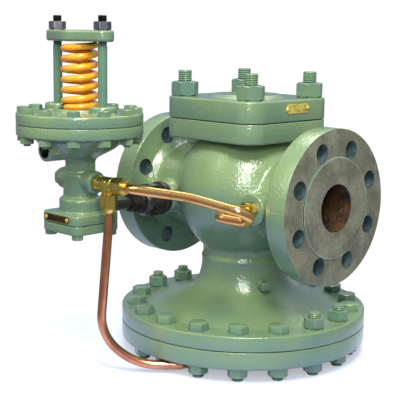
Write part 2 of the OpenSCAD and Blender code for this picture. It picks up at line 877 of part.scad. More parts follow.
// Bleed line from the tee to the outlet side, with a loop in front of its connector
module bleed_tube() {
    corners = [
        [tee_x + 12, pilot_y, tee_z], [mid_x + 9, pilot_y, tee_z], [mid_x + 64, -151, 20],
        [mid_x + 114, -128.4, 9], [mid_x + 110, -108.8, -5],
        [outlet_port_x, -124, bleed_z], [outlet_port_x, -94, bleed_z]
    ];
    bends = [30, 160, 12, 12, 8.5];
    color(copper) difference() {
        bent_rod(corners, bends, tube_d / 2);
        bent_rod(corners, bends, tube_d / 2 - tube_wall);
    }
}

module bleed_fitting() {
    color(gold) translate([outlet_port_x, outlet_port_face, bleed_z]) rotate([90, 0, 0])
        difference() {
            union() {
                bar(quarter_thread_r, -10, 0);
                hex_bar(17.5, 0, 9);
                bar(6.6, 9, 27);
            }
            bar(3.9, -11, 28);
            bar(tube_d / 2 + gap, 24.5, 28);
        }
}

module bleed_nut() {
    color(gold) translate([outlet_port_x, outlet_port_face - 19, bleed_z]) rotate([90, 0, 0])
        tube_nut(15, 4);
}

// Loading line from the tee down and under the casing to the middle of the lower cover
module loading_tube() {
    corners = [
        [tee_x, pilot_y, tee_z - 13], [tee_x, pilot_y, -12],
        [mid_x - 35.6, -181, -132.5], [mid_x - 11.2, -156, underpass_z],
        underpass_corner, elbow + underpass_way * 28
    ];
    bends = [60, 46, 64, 20];
    color(copper) difference() {
        bent_rod(corners, bends, tube_d / 2);
        bent_rod(corners, bends, tube_d / 2 - tube_wall);
    }
}

module loading_fitting() {
    color(gold) difference() {
        union() {
            translate([mid_x, 0, 0]) bar(quarter_thread_r, underpass_z, lower_rim_z + 10);
            translate(elbow) sphere(r = 7.6);
            aim(elbow, underpass_way) {
                bar(6.9, 0, 16);
                bar(6.6, 16, 31);
            }
        }
        translate([mid_x, 0, 0]) bar(3.5, underpass_z - 2, lower_rim_z + 11);
        aim(elbow, underpass_way) {
            bar(3.9, 0, 32);
            bar(tube_d / 2 + gap, 27.5, 32);
        }
    }
}

module loading_nut() {
    color(gold) aim(elbow + underpass_way * 22, underpass_way) tube_nut(14, 4);
}

valve_body();
top_cover();
cover_gasket();
cover_studs();
cover_nuts();
cover_nameplate();
cover_nameplate_pins();
seat_ring();
main_disc();
main_stem();
stem_nut();
stem_guide();
main_spring();
pressure_plate();
main_diaphragm();
lower_cover();
flange_bolts();
flange_studs();
flange_nuts();
body_plug();
pilot_body();
pilot_upper_flange();
pilot_diaphragm();
pilot_spring_button();
pilot_flange_bolts();
pilot_flange_nuts();
adjusting_studs();
yoke_plate();
adjusting_nut_left();
adjusting_nut_right();
range_spring();
pilot_stem();
pilot_stem_guide();
pilot_disc();
pilot_seat();
pilot_return_spring();
pilot_strainer();
pilot_bottom_cap();
pilot_cap_gasket();
pilot_cap_screws();
pilot_nameplate();
pilot_nameplate_pins();
pilot_side_plug();
pilot_nipple();
union_pilot_half();
union_nut();
union_body_half();
body_nipple();
tee_fitting();
tee_nuts();
bleed_tube();
bleed_fitting();
bleed_nut();
loading_tube();
loading_fitting();
loading_nut();
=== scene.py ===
"""Looks of the pressure reducing valve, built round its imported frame.

Shapes are worked out in millimetres in the frame's own axes, +X along the flow and +Z up,
and become metres when a mesh is made.
"""

import json
import math

import bpy
import numpy as np
from mathutils import Matrix, Vector, noise

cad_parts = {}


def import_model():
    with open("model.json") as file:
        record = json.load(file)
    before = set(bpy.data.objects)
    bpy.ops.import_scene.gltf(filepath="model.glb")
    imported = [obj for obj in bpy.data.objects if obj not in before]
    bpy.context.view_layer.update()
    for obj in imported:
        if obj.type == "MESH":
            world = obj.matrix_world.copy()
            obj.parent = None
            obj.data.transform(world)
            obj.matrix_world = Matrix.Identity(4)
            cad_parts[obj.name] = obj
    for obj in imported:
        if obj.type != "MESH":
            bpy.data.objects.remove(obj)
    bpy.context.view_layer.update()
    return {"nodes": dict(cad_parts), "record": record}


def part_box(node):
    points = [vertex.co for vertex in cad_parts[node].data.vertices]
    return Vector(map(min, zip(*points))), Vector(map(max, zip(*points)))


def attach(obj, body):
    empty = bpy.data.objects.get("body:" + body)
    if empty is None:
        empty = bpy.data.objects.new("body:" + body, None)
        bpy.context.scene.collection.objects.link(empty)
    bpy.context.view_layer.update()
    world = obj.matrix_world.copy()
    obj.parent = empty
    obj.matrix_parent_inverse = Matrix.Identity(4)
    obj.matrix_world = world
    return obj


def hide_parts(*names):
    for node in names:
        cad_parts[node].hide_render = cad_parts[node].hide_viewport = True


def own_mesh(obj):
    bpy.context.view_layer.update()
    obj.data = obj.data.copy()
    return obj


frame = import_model()

MM = 0.001
INCH = 25.4
NODES = frame["nodes"]
RECORD = frame["record"]
SLOT_OF = {part["node"]: part["material_slot"] for part in RECORD["subparts"]}
BODY_OF = {node: body for body, nodes in RECORD["behaviour"]["bodies"].items() for node in nodes}
MOUNT = {mount["name"]: mount for mount in RECORD["mounts"]}


# ---------- places and levels, from the frame ----------

def low(node):
    """A CAD node's lowest corner, in millimetres."""
    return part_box(node)[0] / MM


def high(node):
    """A CAD node's highest corner, in millimetres."""
    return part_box(node)[1] / MM


def middle(node):
    """The middle of a CAD node's box, in millimetres."""
    return (low(node) + high(node)) / 2


STEM_X = middle("lower_cover").x
CASING_R = (high("lower_cover").x - low("lower_cover").x) / 2
CASING_JOINT = high("main_diaphragm").z
CASING_FOOT = low("lower_cover").z
RIM_TOP = high("lower_cover").z
STANCE = low("flange_bolts").z
HEAD_H = 7.9                     # head of a casing bolt
CASING_TOP = high("flange_bolts").z - HEAD_H
CASING_BOLTS = 18
CASING_BOLT_R = 120.9            # their circle
CASING_PHASE = 10.0              # degrees
CASING_HOLE_R = 6.75
STUD_PLACES = (0, 8, 9, 17)      # casing places with a stud in place of a bolt
CASING_NUT_H = 11.1

TOP_FACE = low("cover_gasket").z
TOP_HALF = (high("top_cover").x - low("top_cover").x) / 2
TOP_CORNER = 22.0
TOP_FLANGE_T = 21.1
COVER_LOW = high("cover_gasket").z
COVER_TOP = low("cover_nuts").z
COVER_STUD_D = 15.875
COVER_HOLE_R = 8.6
COVER_STUD_HALF = high("cover_studs").x - STEM_X - COVER_STUD_D / 2

FACE_TO_FACE = MOUNT["outlet_face"]["pos_m"][0] / MM
PIPE_FLANGE_R = 82.55
PIPE_FLANGE_T = 26.0
RAISED_FACE_R = 53.2
RAISED_FACE_H = 1.6
PIPE_BORE_R = 25.4
PIPE_BOLTS = [MOUNT[end + "_bolts"]["dims"] for end in ("inlet", "outlet")]
GLOBE_R, GLOBE_Z, NECK_R = 77.0, 5.0, 48.0

PILOT_X, PILOT_Y, _ = middle("pilot_upper_flange")
PILOT_R = (high("pilot_upper_flange").x - low("pilot_upper_flange").x) / 2
PILOT_JOINT = low("pilot_diaphragm").z
PILOT_UPPER = high("pilot_diaphragm").z
PILOT_UNDER = high("pilot_flange_nuts").z
PILOT_HEAD_H = 5.3
PILOT_TOP = high("pilot_flange_bolts").z - PILOT_HEAD_H
PILOT_BOSS_TOP = high("pilot_upper_flange").z
PILOT_BOLTS, PILOT_BOLT_CIRCLE, PILOT_BOLT_D, PILOT_HOLE_R = 12, 58.0, 7.94, 4.2
PILOT_FOOT = low("pilot_body").z
PILOT_SQUARE = 30.0
SPRING_SEAT = high("pilot_spring_button").z
YOKE_LOW, YOKE_TOP = low("yoke_plate").z, high("yoke_plate").z
ADJUST_STUD_D = 9.525
ADJUST_HALF = high("adjusting_studs").x - PILOT_X - ADJUST_STUD_D / 2
CAP_LOW = low("pilot_bottom_cap").z
CAP_HOLE_R = 3.4

TEE_Z = middle("pilot_side_plug").z
UNION_Z = middle("union_nut").z
BLEED = middle("bleed_nut")
QUARTER_THREAD_R, QUARTER_PITCH = 6.85, 1.411     # quarter-inch pipe thread
CONTROL_Z = MOUNT["control_line_port"]["pos_m"][2] / MM
TUBE_D, TUBE_WALL = 9.525, 0.89
TEE_X = middle("tee_nuts").x - 10.65
FIT = 0.02                       # radial gap of a fixed fit
PLUG_R = 6.9
PLUG_TURN = -23                  # degrees round the bell
NIPPLE_BORE = 4.6
TUBE_NUT_FLATS = 15.9

# Turns that carry a shape's +Z onto another direction
TO_X = Matrix.Rotation(math.pi / 2, 4, "Y")
TO_MINUS_X = Matrix.Rotation(-math.pi / 2, 4, "Y")
TO_Y = Matrix.Rotation(-math.pi / 2, 4, "X")
TO_MINUS_Y = Matrix.Rotation(math.pi / 2, 4, "X")
TO_MINUS_Z = Matrix.Rotation(math.pi, 4, "X")
AT_STEM = Matrix.Translation((STEM_X, 0, 0))
AT_PILOT = Matrix.Translation((PILOT_X, PILOT_Y, 0))


def shift(x=0, y=0, z=0):
    return Matrix.Translation((x, y, z))


def spin(degrees):
    return Matrix.Rotation(math.radians(degrees), 4, "Z")


def ring_places(base, count, radius, phase):
    """Places on a circle about base, each turned to face outwards."""
    return [base @ (spin(phase + i * 360 / count) @ shift(radius)) for i in range(count)]


def corner_places(base, half):
    return [base @ shift(x, y) for x in (-half, half) for y in (-half, half)]


CASING_PLACES = ring_places(AT_STEM, CASING_BOLTS, CASING_BOLT_R, CASING_PHASE)
COVER_CORNERS = corner_places(AT_STEM, COVER_STUD_HALF)
PILOT_PLACES = ring_places(AT_PILOT, PILOT_BOLTS, PILOT_BOLT_CIRCLE, 15)
CAP_CORNERS = corner_places(AT_PILOT, 22)
ADJUST_PLACES = [AT_PILOT @ shift(-ADJUST_HALF), AT_PILOT @ shift(ADJUST_HALF)]
PLUG_PLACE = AT_STEM @ spin(PLUG_TURN) @ shift(z=middle("body_plug").z) @ TO_X
FAR_END = shift(FACE_TO_FACE) @ TO_MINUS_X

# The pilot's sides, measured from its axis
TEE_SIDE = shift(z=TEE_Z) @ TO_X
PLUG_SIDE = shift(z=TEE_Z) @ TO_MINUS_X
UNION_SIDE = shift(z=UNION_Z) @ TO_Y
CONTROL_SIDE = shift(z=CONTROL_Z) @ TO_MINUS_Y


# ---------- shapes ----------

class Shape:
    """A closed surface: points in millimetres and the faces between them."""

    def __init__(self, points, faces):
        self.points = np.asarray(points, float).reshape(-1, 3)
        self.faces = [tuple(f) for f in faces]

    def at(self, place):
        m = np.array(place)
        return Shape(self.points @ m[:3, :3].T + m[:3, 3], self.faces)


def merged(shapes):
    """Several shapes as one list of points and faces."""
    points, faces, base = [], [], 0
    for s in shapes:
        points.append(s.points)
        faces += [tuple(base + i for i in f) for f in s.faces]
        base += len(s.points)
    return Shape(np.concatenate(points), faces)


def skin(rings, loop=False):
    """A surface through rings of equally many points; the end rings are capped, or joined if loop."""
    n, count = len(rings[0]), len(rings)
    faces = []
    for i in range(count if loop else count - 1):
        a, b = i * n, (i + 1) % count * n
        faces += [(a + j, a + (j + 1) % n, b + (j + 1) % n, b + j) for j in range(n)]
    if not loop:
        faces += [tuple(range(n - 1, -1, -1)), tuple(range((count - 1) * n, count * n))]
    return Shape(np.concatenate(rings), faces)


def unit(v):
    return v / np.linalg.norm(v)


def rounded(corners, closed=False, steps=5):
    """An outline whose corners become arcs. A corner is (place..., radius) and may be flat or in space."""
    places = [np.array(c[:-1], float) for c in corners]
    out = []
    for i, here in enumerate(places):
        radius = corners[i][-1]
        if radius == 0 or (not closed and i in (0, len(places) - 1)):
            out.append(here)
            continue
        a = unit(places[i - 1] - here)
        b = unit(places[(i + 1) % len(places)] - here)
        half = math.acos(np.clip(a @ b, -1, 1)) / 2
        centre = here + unit(a + b) * radius / math.sin(half)
        start, end = (here + v * radius / math.tan(half) - centre for v in (a, b))
        sweep = math.pi - 2 * half
        for k in range(steps + 1):
            t = k / steps
            way = start * math.sin((1 - t) * sweep) + end * math.sin(t * sweep)
            out.append(centre + way / math.sin(sweep))
    return np.array(out)


def smooth_curve(points, steps=6):
    """A Catmull-Rom curve through points."""
    p = np.array(points, float)
    p = np.concatenate([[2 * p[0] - p[1]], p, [2 * p[-1] - p[-2]]])
    out = []
    for a, b, c, d in zip(p, p[1:], p[2:], p[3:]):
        for t in np.arange(steps) / steps:
            out.append(b + t * (c - a) / 2 + t**2 * (a - 2.5 * b + 2 * c - d / 2)
                       + t**3 * (1.5 * b - a / 2 - 1.5 * c + d / 2))
    return np.array(out + [p[-2]])


def polar(walls, sides, loop=False):
    """A surface from (radius, height) pairs, each a number or one value for each of the sides."""
    angle = np.arange(sides) * 2 * math.pi / sides
    cos, sin, one = np.cos(angle), np.sin(angle), np.ones(sides)
    return skin([np.stack([r * cos, r * sin, z * one], 1) for r, z in walls], loop)


def turned(outline, sides=96, bored=False):
    """An outline of (radius, height) turned about +Z, capped at both ends, or closed on itself if bored."""
    return polar(list(outline), sides, bored)


def solid(corners, sides=96, steps=5):
    """An open outline of (radius, height, rounding) corners, turned about +Z."""
    return turned(rounded(corners, steps=steps), sides)


def hollow(corners, sides, steps=3):
    """A closed outline of (radius, height, rounding) corners, turned about +Z."""
    return turned(rounded(corners, closed=True, steps=steps), sides, bored=True)


def disc(r, bottom, top, edge_bottom=0.0, edge_top=0.0, sides=96, steps=4):
    """A round plate with rounded edges."""
    return solid([(r * 0.4, bottom, 0), (r, bottom, edge_bottom), (r, top, edge_top), (r * 0.4, top, 0)],
                 sides, steps)


def tube(r, bore, bottom, top, edge=0.3, sides=48):
    """A round bar with a hole through it."""
    return hollow([(bore, bottom, edge / 2), (r, bottom, edge), (r, top, edge), (bore, top, edge / 2)], sides)


def each(shape, places):
    """One shape at several places."""
    return [shape.at(p) for p in places]


def each_of(shapes, place):
    """Several shapes at one place."""
    return [s.at(place) for s in shapes]


def holes(r, bottom, top, places, sides=36):
    """Round holes, as shapes to cut."""
    return each(disc(r, bottom, top, sides=sides), places)


def tapped(bottom, top):
    """A hole for a quarter-inch pipe thread."""
    return disc(QUARTER_THREAD_R + FIT, bottom, top, sides=48)


def ball(r, place):
    outline = [(r * math.cos(a), r * math.sin(a)) for a in np.radians(np.linspace(-88.5, 88.5, 60))]
    return turned(outline, 120).at(place)


def hexagon(across, bottom, top, bore=0.0, chamfer=(True, True), sides=96):
    """A hexagonal bar with its flats facing +Y and -Y, and chamfered corners at the ends asked for."""
    angle = np.degrees(np.arange(sides) * 2 * math.pi / sides)
    corner = across / math.sqrt(3)
    wall = np.minimum(across / 2 / np.cos(np.radians(angle % 60 - 30)), corner * 0.985)
    face = across / 2 * 0.955
    drop = (wall - face) * math.tan(math.radians(30))
    edge = 0.35
    walls = [(wall if not chamfer[0] else face, bottom), (wall, bottom + (drop if chamfer[0] else 0.01)),
             (wall, top - (drop if chamfer[1] else 0.01)), (wall if not chamfer[1] else face, top)]
    if bore:
        walls += [(bore + edge, top), (bore, top - edge), (bore, bottom + edge), (bore + edge, bottom)]
    return polar(walls, sides, loop=bool(bore))


def rod(r, bottom, top, pitch=0.0, threads=(), chamfer=1.0, sides=36):
    """A round bar whose threads, (from, to) pairs, are right-handed V grooves cut into its wall."""
    per_turn = 6
    levels = {bottom, bottom + chamfer, top - chamfer, top}
    for start, end in threads:
        levels |= {z for z in (start - 0.01, end + 0.01) if bottom < z < top}
        levels |= set(np.arange(max(start, bottom), min(end, top), pitch / per_turn))
    phase = np.arange(sides) / sides
    walls = []
    for z in sorted(levels):
        end_limit = r - max(0.0, bottom + chamfer - z, z - top + chamfer)
        cut = any(start <= z <= end for start, end in threads)
        depth = 0.52 * pitch * np.abs(2 * ((z / pitch - phase) % 1) - 1) if cut else np.zeros(sides)
        walls.append((np.minimum(r - depth, end_limit), z))
    return polar(walls, sides)


def sideways(outline):
    """Each point's outward direction on a flat closed outline that runs counter-clockwise."""
    along = np.roll(outline, -1, 0) - np.roll(outline, 1, 0)
    out = np.stack([along[:, 1], -along[:, 0]], 1)
    return out / np.linalg.norm(out, axis=1)[:, None]


def plate(outline, bottom, top, edge_bottom, edge_top, steps=4):
    """A plate with the given outline and rounded edges."""
    outward = sideways(outline)
    rings = []
    for level, edge, rising in ((bottom, edge_bottom, True), (top, edge_top, False)):
        for k in range(steps + 1):
            a = math.pi / 2 * (k / steps if rising else 1 - k / steps)
            inset, lift = edge * (1 - math.sin(a)), edge * (1 - math.cos(a))
            flat = outline - outward * inset
            z = level + lift if rising else level - lift
            rings.append(np.column_stack([flat, np.full(len(flat), z)]))
    return skin(rings)


def round_square(half, corner, steps=10):
    return rounded([(x * half, y * half, corner) for x, y in ((1, -1), (1, 1), (-1, 1), (-1, -1))],
                   closed=True, steps=steps)


def circle(r, sides=160):
    a = np.arange(sides) * 2 * math.pi / sides
    return np.stack([r * np.cos(a), r * np.sin(a)], 1)


def lozenge(half, end_r, middle_r, steps=14):
    """The outline round two small circles at the ends of a large one."""
    tilt = math.degrees(math.asin((middle_r - end_r) / half))
    out = []
    for x, r, start, end in ((half, end_r, tilt - 90, 90 - tilt), (0, middle_r, 90 - tilt, 90 + tilt),
                             (-half, end_r, 90 + tilt, 270 - tilt), (0, middle_r, 270 - tilt, 270 + tilt)):
        for a in np.radians(np.linspace(start, end, steps + 1)[:-1 if r == middle_r else None]):
            if not (r == middle_r and abs(a - math.radians(start)) < 1e-9):
                out.append((x + r * math.cos(a), r * math.sin(a)))
    return np.array(out)


def swept(path, r, bore=0.0, sides=28):
    """A round wire or tube along a path in space."""
    path = np.asarray(path, float)
    tangents = [unit(t) for t in np.gradient(path, axis=0)]
    side = unit(np.cross(tangents[0], (0, 0, 1) if abs(tangents[0][2]) < 0.9 else (1, 0, 0)))
    angle = np.arange(sides) * 2 * math.pi / sides
    outer, inner = [], []
    for centre, t in zip(path, tangents):
        side = unit(side - (side @ t) * t)
        up = np.cross(t, side)
        way = np.outer(np.cos(angle), side) + np.outer(np.sin(angle), up)
        outer.append(centre + r * way)
        inner.append(centre + bore * way)
    return skin(outer + inner[::-1], loop=True) if bore else skin(outer)


def dense(path, step=1.5):
    """The same path with points no further apart than step."""
    out = [path[0]]
    for a, b in zip(path, path[1:]):
        count = max(1, math.ceil(np.linalg.norm(b - a) / step))
        out += [a + (b - a) * k / count for k in range(1, count + 1)]
    return np.array(out)


def coil(outer_d, wire_d, bottom, top, turns, closed=(1, 1), steps=48, sides=20):
    """A right-handed compression spring; closed says how many turns lie flat at its lower and upper ends."""
    mean = (outer_d - wire_d) / 2
    low_turns, high_turns = closed
    pitch = (top - bottom - (1 + low_turns + high_turns) * wire_d) / (turns - low_turns - high_turns)
    t = np.linspace(0, turns, int(turns * steps) + 1)
    rise = wire_d / 2 + wire_d * (np.clip(t, 0, low_turns) + np.clip(t - turns + high_turns, 0, high_turns))
    rise += pitch * np.clip(t - low_turns, 0, turns - low_turns - high_turns)
    a = 2 * math.pi * t
    path = np.column_stack([mean * np.cos(a), mean * np.sin(a), bottom + rise])
    shape = swept(path, wire_d / 2, sides=sides)
    shape.points[:, 2] = np.clip(shape.points[:, 2], bottom, top)
    return shape


# ---------- objects ----------

SHARP_FROM = 32                  # degrees between faces


def bare(name, shape):
    """A Blender object from a shape or a list of shapes, in metres."""
    if isinstance(shape, list):
        shape = merged(shape)
    mesh = bpy.data.meshes.new(name)
    mesh.from_pydata((shape.points * MM).tolist(), [], shape.faces)
    mesh.validate()
    obj = bpy.data.objects.new(name, mesh)
    bpy.context.scene.collection.objects.link(obj)
    return obj


def apply(obj, kind, **settings):
    """Adds one modifier and makes its result the object's mesh."""
    modifier = obj.modifiers.new(kind, kind)
    for key, value in settings.items():
        setattr(modifier, key, value)
    before = obj.data
    depsgraph = bpy.context.evaluated_depsgraph_get()
    obj.data = bpy.data.meshes.new_from_object(obj.evaluated_get(depsgraph))
    obj.modifiers.clear()
    bpy.data.meshes.remove(before)


def combine(obj, shape, operation="DIFFERENCE"):
    """Cuts a shape or a list of shapes out of an object, or joins it on."""
    tool = bare("tool", shape)
    apply(obj, "BOOLEAN", object=tool, operation=operation, solver="MANIFOLD")
    bpy.data.meshes.remove(tool.data)
    obj.data.materials.clear()


def read_each(items, *fields):
    """Vector fields of a mesh's vertices or faces, as arrays."""
    out = []
    for field in fields:
        values = np.empty(len(items) * 3)
        items.foreach_get(field, values)
        out.append(values.reshape(-1, 3))
    return out


def cast(node, place, shapes, voxel, smoothing, grain):
    """Shapes melted into one casting whose inner corners are filled, with a sand mould's unevenness."""
    obj = bare(node + "_visual", each_of(shapes, place))
    apply(obj, "REMESH", mode="VOXEL", voxel_size=voxel * MM)
    apply(obj, "SMOOTH", factor=0.5, iterations=smoothing)
    places, normals = read_each(obj.data.vertices, "co", "normal")
    height = np.array([1.2 * noise.noise(Vector(p) * 70) + 0.5 * noise.noise(Vector(p) * 260) for p in places])
    obj.data.vertices.foreach_set("co", (places + normals * height[:, None] * grain * MM).ravel())
    return obj


def smooth_shade(obj):
    obj.data.polygons.foreach_set("use_smooth", [True] * len(obj.data.polygons))
    obj.data.set_sharp_from_angle(angle=math.radians(SHARP_FROM))
    obj.data.update()


def dress(node, made, *materials):
    """Makes shapes or an object the visible form of a CAD node, riding on that node's body."""
    obj = made if isinstance(made, bpy.types.Object) else bare(node + "_visual", made)
    for name in materials or (SLOT_OF[node],):
        obj.data.materials.append(MATERIAL[name])
    smooth_shade(obj)
    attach(obj, BODY_OF[node])
    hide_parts(node)
    return obj


def paint_faces(obj, choose):
    """Sets each face's material index from arrays of face centres (mm) and normals."""
    centres, normals = read_each(obj.data.polygons, "center", "normal")
    index = choose(centres / MM, normals)
    obj.data.polygons.foreach_set("material_index", index.astype(np.int32))


# ---------- materials ----------

class Graph:
    """Short names for the shader nodes used here."""

    def __init__(self, owner):
        """owner is a new material's name, or a world."""
        self.owner = bpy.data.materials.new(owner) if isinstance(owner, str) else owner
        self.owner.use_nodes = True
        self.tree = self.owner.node_tree
        self.place = self.node("TexCoord", output="Object")

    def node(self, kind, inputs={}, output=0, **settings):
        n = self.tree.nodes.new("ShaderNode" + kind)
        for key, value in settings.items():
            setattr(n, key, value)
        for key, value in inputs.items():
            self.link(n.inputs[key], value)
        return n.outputs[output]

    def link(self, socket, value):
        if isinstance(value, bpy.types.NodeSocket):
            self.tree.links.new(value, socket)
        else:
            socket.default_value = value

    def noise(self, feature_mm, detail=2.0, roughness=0.5, distortion=0.0, where=None):
        """Noise whose blobs are about feature_mm across."""
        return self.node("TexNoise", {"Vector": where or self.place, "Scale": 0.5 / (feature_mm * MM),
                                      "Detail": detail, "Roughness": roughness, "Distortion": distortion})

    def maths(self, operation, a, b=0.0):
        return self.node("Math", {0: a, 1: b}, operation=operation)

    def axes(self, vector):
        """A vector's three parts."""
        n = self.tree.nodes.new("ShaderNodeSeparateXYZ")
        self.link(n.inputs[0], vector)
        return n.outputs

    def painted_corner_shade(self, reach_mm, start, end, share):
        """How much painted shade lies in the corners, read from ambient occlusion."""
        return self.fade(self.node("AmbientOcclusion", {"Distance": reach_mm * MM}, output=1, samples=6),
                         start, end, share, 0.0)

    def patches(self, blobs, a, b, start=0.35, end=0.65):
        return self.mix(self.fade(blobs, start, end), a, b)

    def spots(self, share, a, b, feature_mm, start, end, detail=3.0, roughness=0.5, distortion=0.0):
        """Colour a with up to share of colour b, where noise rises from start to end."""
        blobs = self.noise(feature_mm, detail, roughness, distortion)
        return self.mix(self.fade(blobs, start, end, 0, share), a, b)

    def fade(self, value, start, end, low=0.0, high=1.0):
        """Maps start..end onto low..high, smoothly and within those limits."""
        return self.node("MapRange", {"Value": value, "From Min": start, "From Max": end, "To Min": low,
                                      "To Max": high}, interpolation_type="SMOOTHSTEP")

    def mix(self, share, a, b):
        n = self.tree.nodes.new("ShaderNodeMix")
        n.data_type = "RGBA"
        for key, value in ((0, share), (6, a), (7, b)):
            self.link(n.inputs[key], (*value, 1.0) if isinstance(value, tuple) else value)
        return n.outputs[2]

    def seen_by_camera(self):
        return self.node("LightPath", output="Is Camera Ray")

    def bump(self, height, depth_mm, normal=None, strength=1.0):
        inputs = {"Height": height, "Distance": depth_mm * MM, "Strength": strength}
        if normal:
            inputs["Normal"] = normal
        return self.node("Bump", inputs)

    def finish(self, **values):
        """Sets the shader's inputs, whose names are written with underscores for spaces."""
        for key, value in values.items():
            socket = self.tree.nodes["Principled BSDF"].inputs[key.replace("_", " ")]
            self.link(socket, (*value, 1.0) if isinstance(value, tuple) else value)
        return self.owner


def green_enamel(name, coarse, fine, tint=(1.0, 1.0, 1.0)):
    """Glossy sage enamel, with painted shade in its corners and on faces turned down, and light specks as
    painted glints. coarse and fine are the heights in mm of the cast lumps and the orange peel.
    """
    g = Graph(name)
    sage, light, cold = (tuple(c * t for c, t in zip(colour, tint)) for colour in (
        (0.192, 0.292, 0.140), (0.245, 0.350, 0.152), (0.152, 0.272, 0.190)))
    colour = g.patches(g.noise(60, 3), sage, light)
    elsewhere = g.node("Mapping", {"Vector": g.place, "Location": (3, 1, 2)})
    colour = g.mix(g.fade(g.noise(35, 2, where=elsewhere), 0.45, 0.7, 0, 0.5), colour, cold)
    # Painted glints: light specks that stand in for the sparkle seen in highlights.
    colour = g.spots(0.28, colour, (0.40, 0.50, 0.34), 0.9, 0.60, 0.72, 3, 0.6)
    # Painted shade: the enamel darkens to a deep green in its corners.
    colour = g.mix(g.painted_corner_shade(6, 0.25, 0.85, 0.62), colour, (0.045, 0.075, 0.062))
    # Painted shade: faces turned down, and partly those turned aside, take a dark bluish green, in patches.
    upward = g.axes(g.node("NewGeometry", output="Normal"))[2]
    painted_light_level = g.maths("ADD", upward, g.maths("MULTIPLY", g.noise(45, 2), 0.8))
    colour = g.mix(g.fade(painted_light_level, 0.10, 0.75, 0.75, 0.0), colour, (0.080, 0.175, 0.165))
    normal = g.bump(g.noise(1.4, 2, 0.55), fine, g.bump(g.noise(5.5, 2, 0.5, 0.4), coarse))
    gloss = g.fade(g.noise(9, 3), 0.3, 0.7, 0.14, 0.26)
    return g.finish(Base_Color=colour, Roughness=gloss, Normal=normal, Specular_IOR_Level=0.5,
                    Coat_Weight=0.9, Coat_Roughness=0.05, Coat_Normal=normal)


def bare_machined(name):
    """A machined flange face: grey-brown, with turning marks about the pipe's axis, spots of rust and a painted
    highlight along the raised face's edge.
    """
    g = Graph(name)
    _, y, z = g.axes(g.place)
    radius = g.maths("SQRT", g.maths("ADD", g.maths("MULTIPLY", y, y), g.maths("MULTIPLY", z, z)))
    groove_pitch = 0.8 * MM
    grooves = g.maths("SINE", g.maths("MULTIPLY", radius, 2 * math.pi / groove_pitch))
    stain = g.noise(14, 5, 0.62)
    colour = g.patches(stain, (0.195, 0.200, 0.140), (0.320, 0.325, 0.230), 0.38, 0.62)
    colour = g.spots(0.6, colour, (0.120, 0.068, 0.036), 2.4, 0.55, 0.68, 5, 0.75, 0.5)
    colour = g.spots(0.4, colour, (0.210, 0.165, 0.105), 26, 0.5, 0.72)
    colour = g.spots(0.30, colour, (0.095, 0.080, 0.050), 1.3, 0.42, 0.62, 2, 0.6)
    # Painted highlight: a bright line round the edge of the raised face.
    from_step = g.maths("ABSOLUTE", g.maths("SUBTRACT", radius, (RAISED_FACE_R - 0.1) * MM))
    colour = g.mix(g.fade(from_step, 0.35 * MM, 0.75 * MM, 0.7, 0), colour, (0.70, 0.78, 0.62))
    normal = g.bump(g.noise(1.2, 4, 0.6), 0.05, g.bump(grooves, 0.012, strength=0.7))
    return g.finish(Base_Color=colour, Metallic=0.35, Roughness=g.fade(stain, 0.3, 0.7, 0.42, 0.62),
                    Normal=normal)


def rusty_bore(name):
    """A steam passage: dark scale over brown rust."""
    g = Graph(name)
    colour = g.patches(g.noise(9, 5, 0.65), (0.014, 0.010, 0.008), (0.085, 0.036, 0.012), 0.4, 0.62)
    colour = g.spots(0.8, colour, (0.230, 0.110, 0.032), 2.2, 0.55, 0.7, 4, 0.7)
    return g.finish(Base_Color=colour, Roughness=0.72, Metallic=0.1, Normal=g.bump(g.noise(1.6, 5, 0.6), 0.35))


def hole_paint(name):
    """Thin bluish-green paint on a drilled wall, made darker and bluer as painted shade inside the hole."""
    g = Graph(name)
    colour = g.patches(g.noise(5, 3), (0.090, 0.145, 0.155), (0.040, 0.068, 0.078), 0.4, 0.6)
    return g.finish(Base_Color=colour, Roughness=0.42, Normal=g.bump(g.noise(1.4, 3), 0.12))


def drawn_copper(name, bright, dull):
    g = Graph(name)
    blush = g.noise(16, 3, 0.6)
    colour = g.patches(blush, bright, dull)
    colour = g.spots(0.7, colour, (0.36, 0.13, 0.06), 5, 0.56, 0.74, 5, 0.7)
    return g.finish(Base_Color=colour, Metallic=1.0, Roughness=g.fade(blush, 0.3, 0.7, 0.13, 0.26),
                    Normal=g.bump(g.noise(2.6, 3, 0.5), 0.035))


def yellow_metal(name, light, dark, stain, rough=(0.16, 0.34), metallic=1.0):
    """Brass or bronze, dulled in patches."""
    g = Graph(name)
    tarnish = g.noise(6, 4, 0.6)
    colour = g.patches(tarnish, light, dark)
    colour = g.spots(0.75, colour, stain, 2.0, 0.57, 0.7, 4, 0.65)
    return g.finish(Base_Color=colour, Metallic=metallic, Roughness=g.fade(tarnish, 0.3, 0.7, *rough),
                    Normal=g.bump(g.noise(1.1, 3), 0.03))


def oiled_iron(name):
    g = Graph(name)
    film = g.noise(7, 4, 0.6)
    colour = g.patches(film, (0.012, 0.011, 0.012), (0.038, 0.030, 0.028))
    colour = g.spots(0.6, colour, (0.085, 0.055, 0.040), 2.4, 0.6, 0.72, 4, 0.7)
    return g.finish(Base_Color=colour, Metallic=0.25, Roughness=g.fade(film, 0.3, 0.7, 0.24, 0.42),
                    Normal=g.bump(g.noise(2.0, 4, 0.6), 0.16), Coat_Weight=0.3, Coat_Roughness=0.2)


def grey_steel(name, light, dark, rough, grain_mm=1.4):
    g = Graph(name)
    film = g.noise(5, 4, 0.6)
    stretched = g.node("Mapping", {"Vector": g.place, "Scale": (1, 1, 9)})
    return g.finish(Base_Color=g.patches(film, light, dark), Metallic=1.0,
                    Roughness=g.fade(film, 0.3, 0.7, *rough),
                    Normal=g.bump(g.noise(grain_mm, 4, 0.6, where=stretched), 0.03))


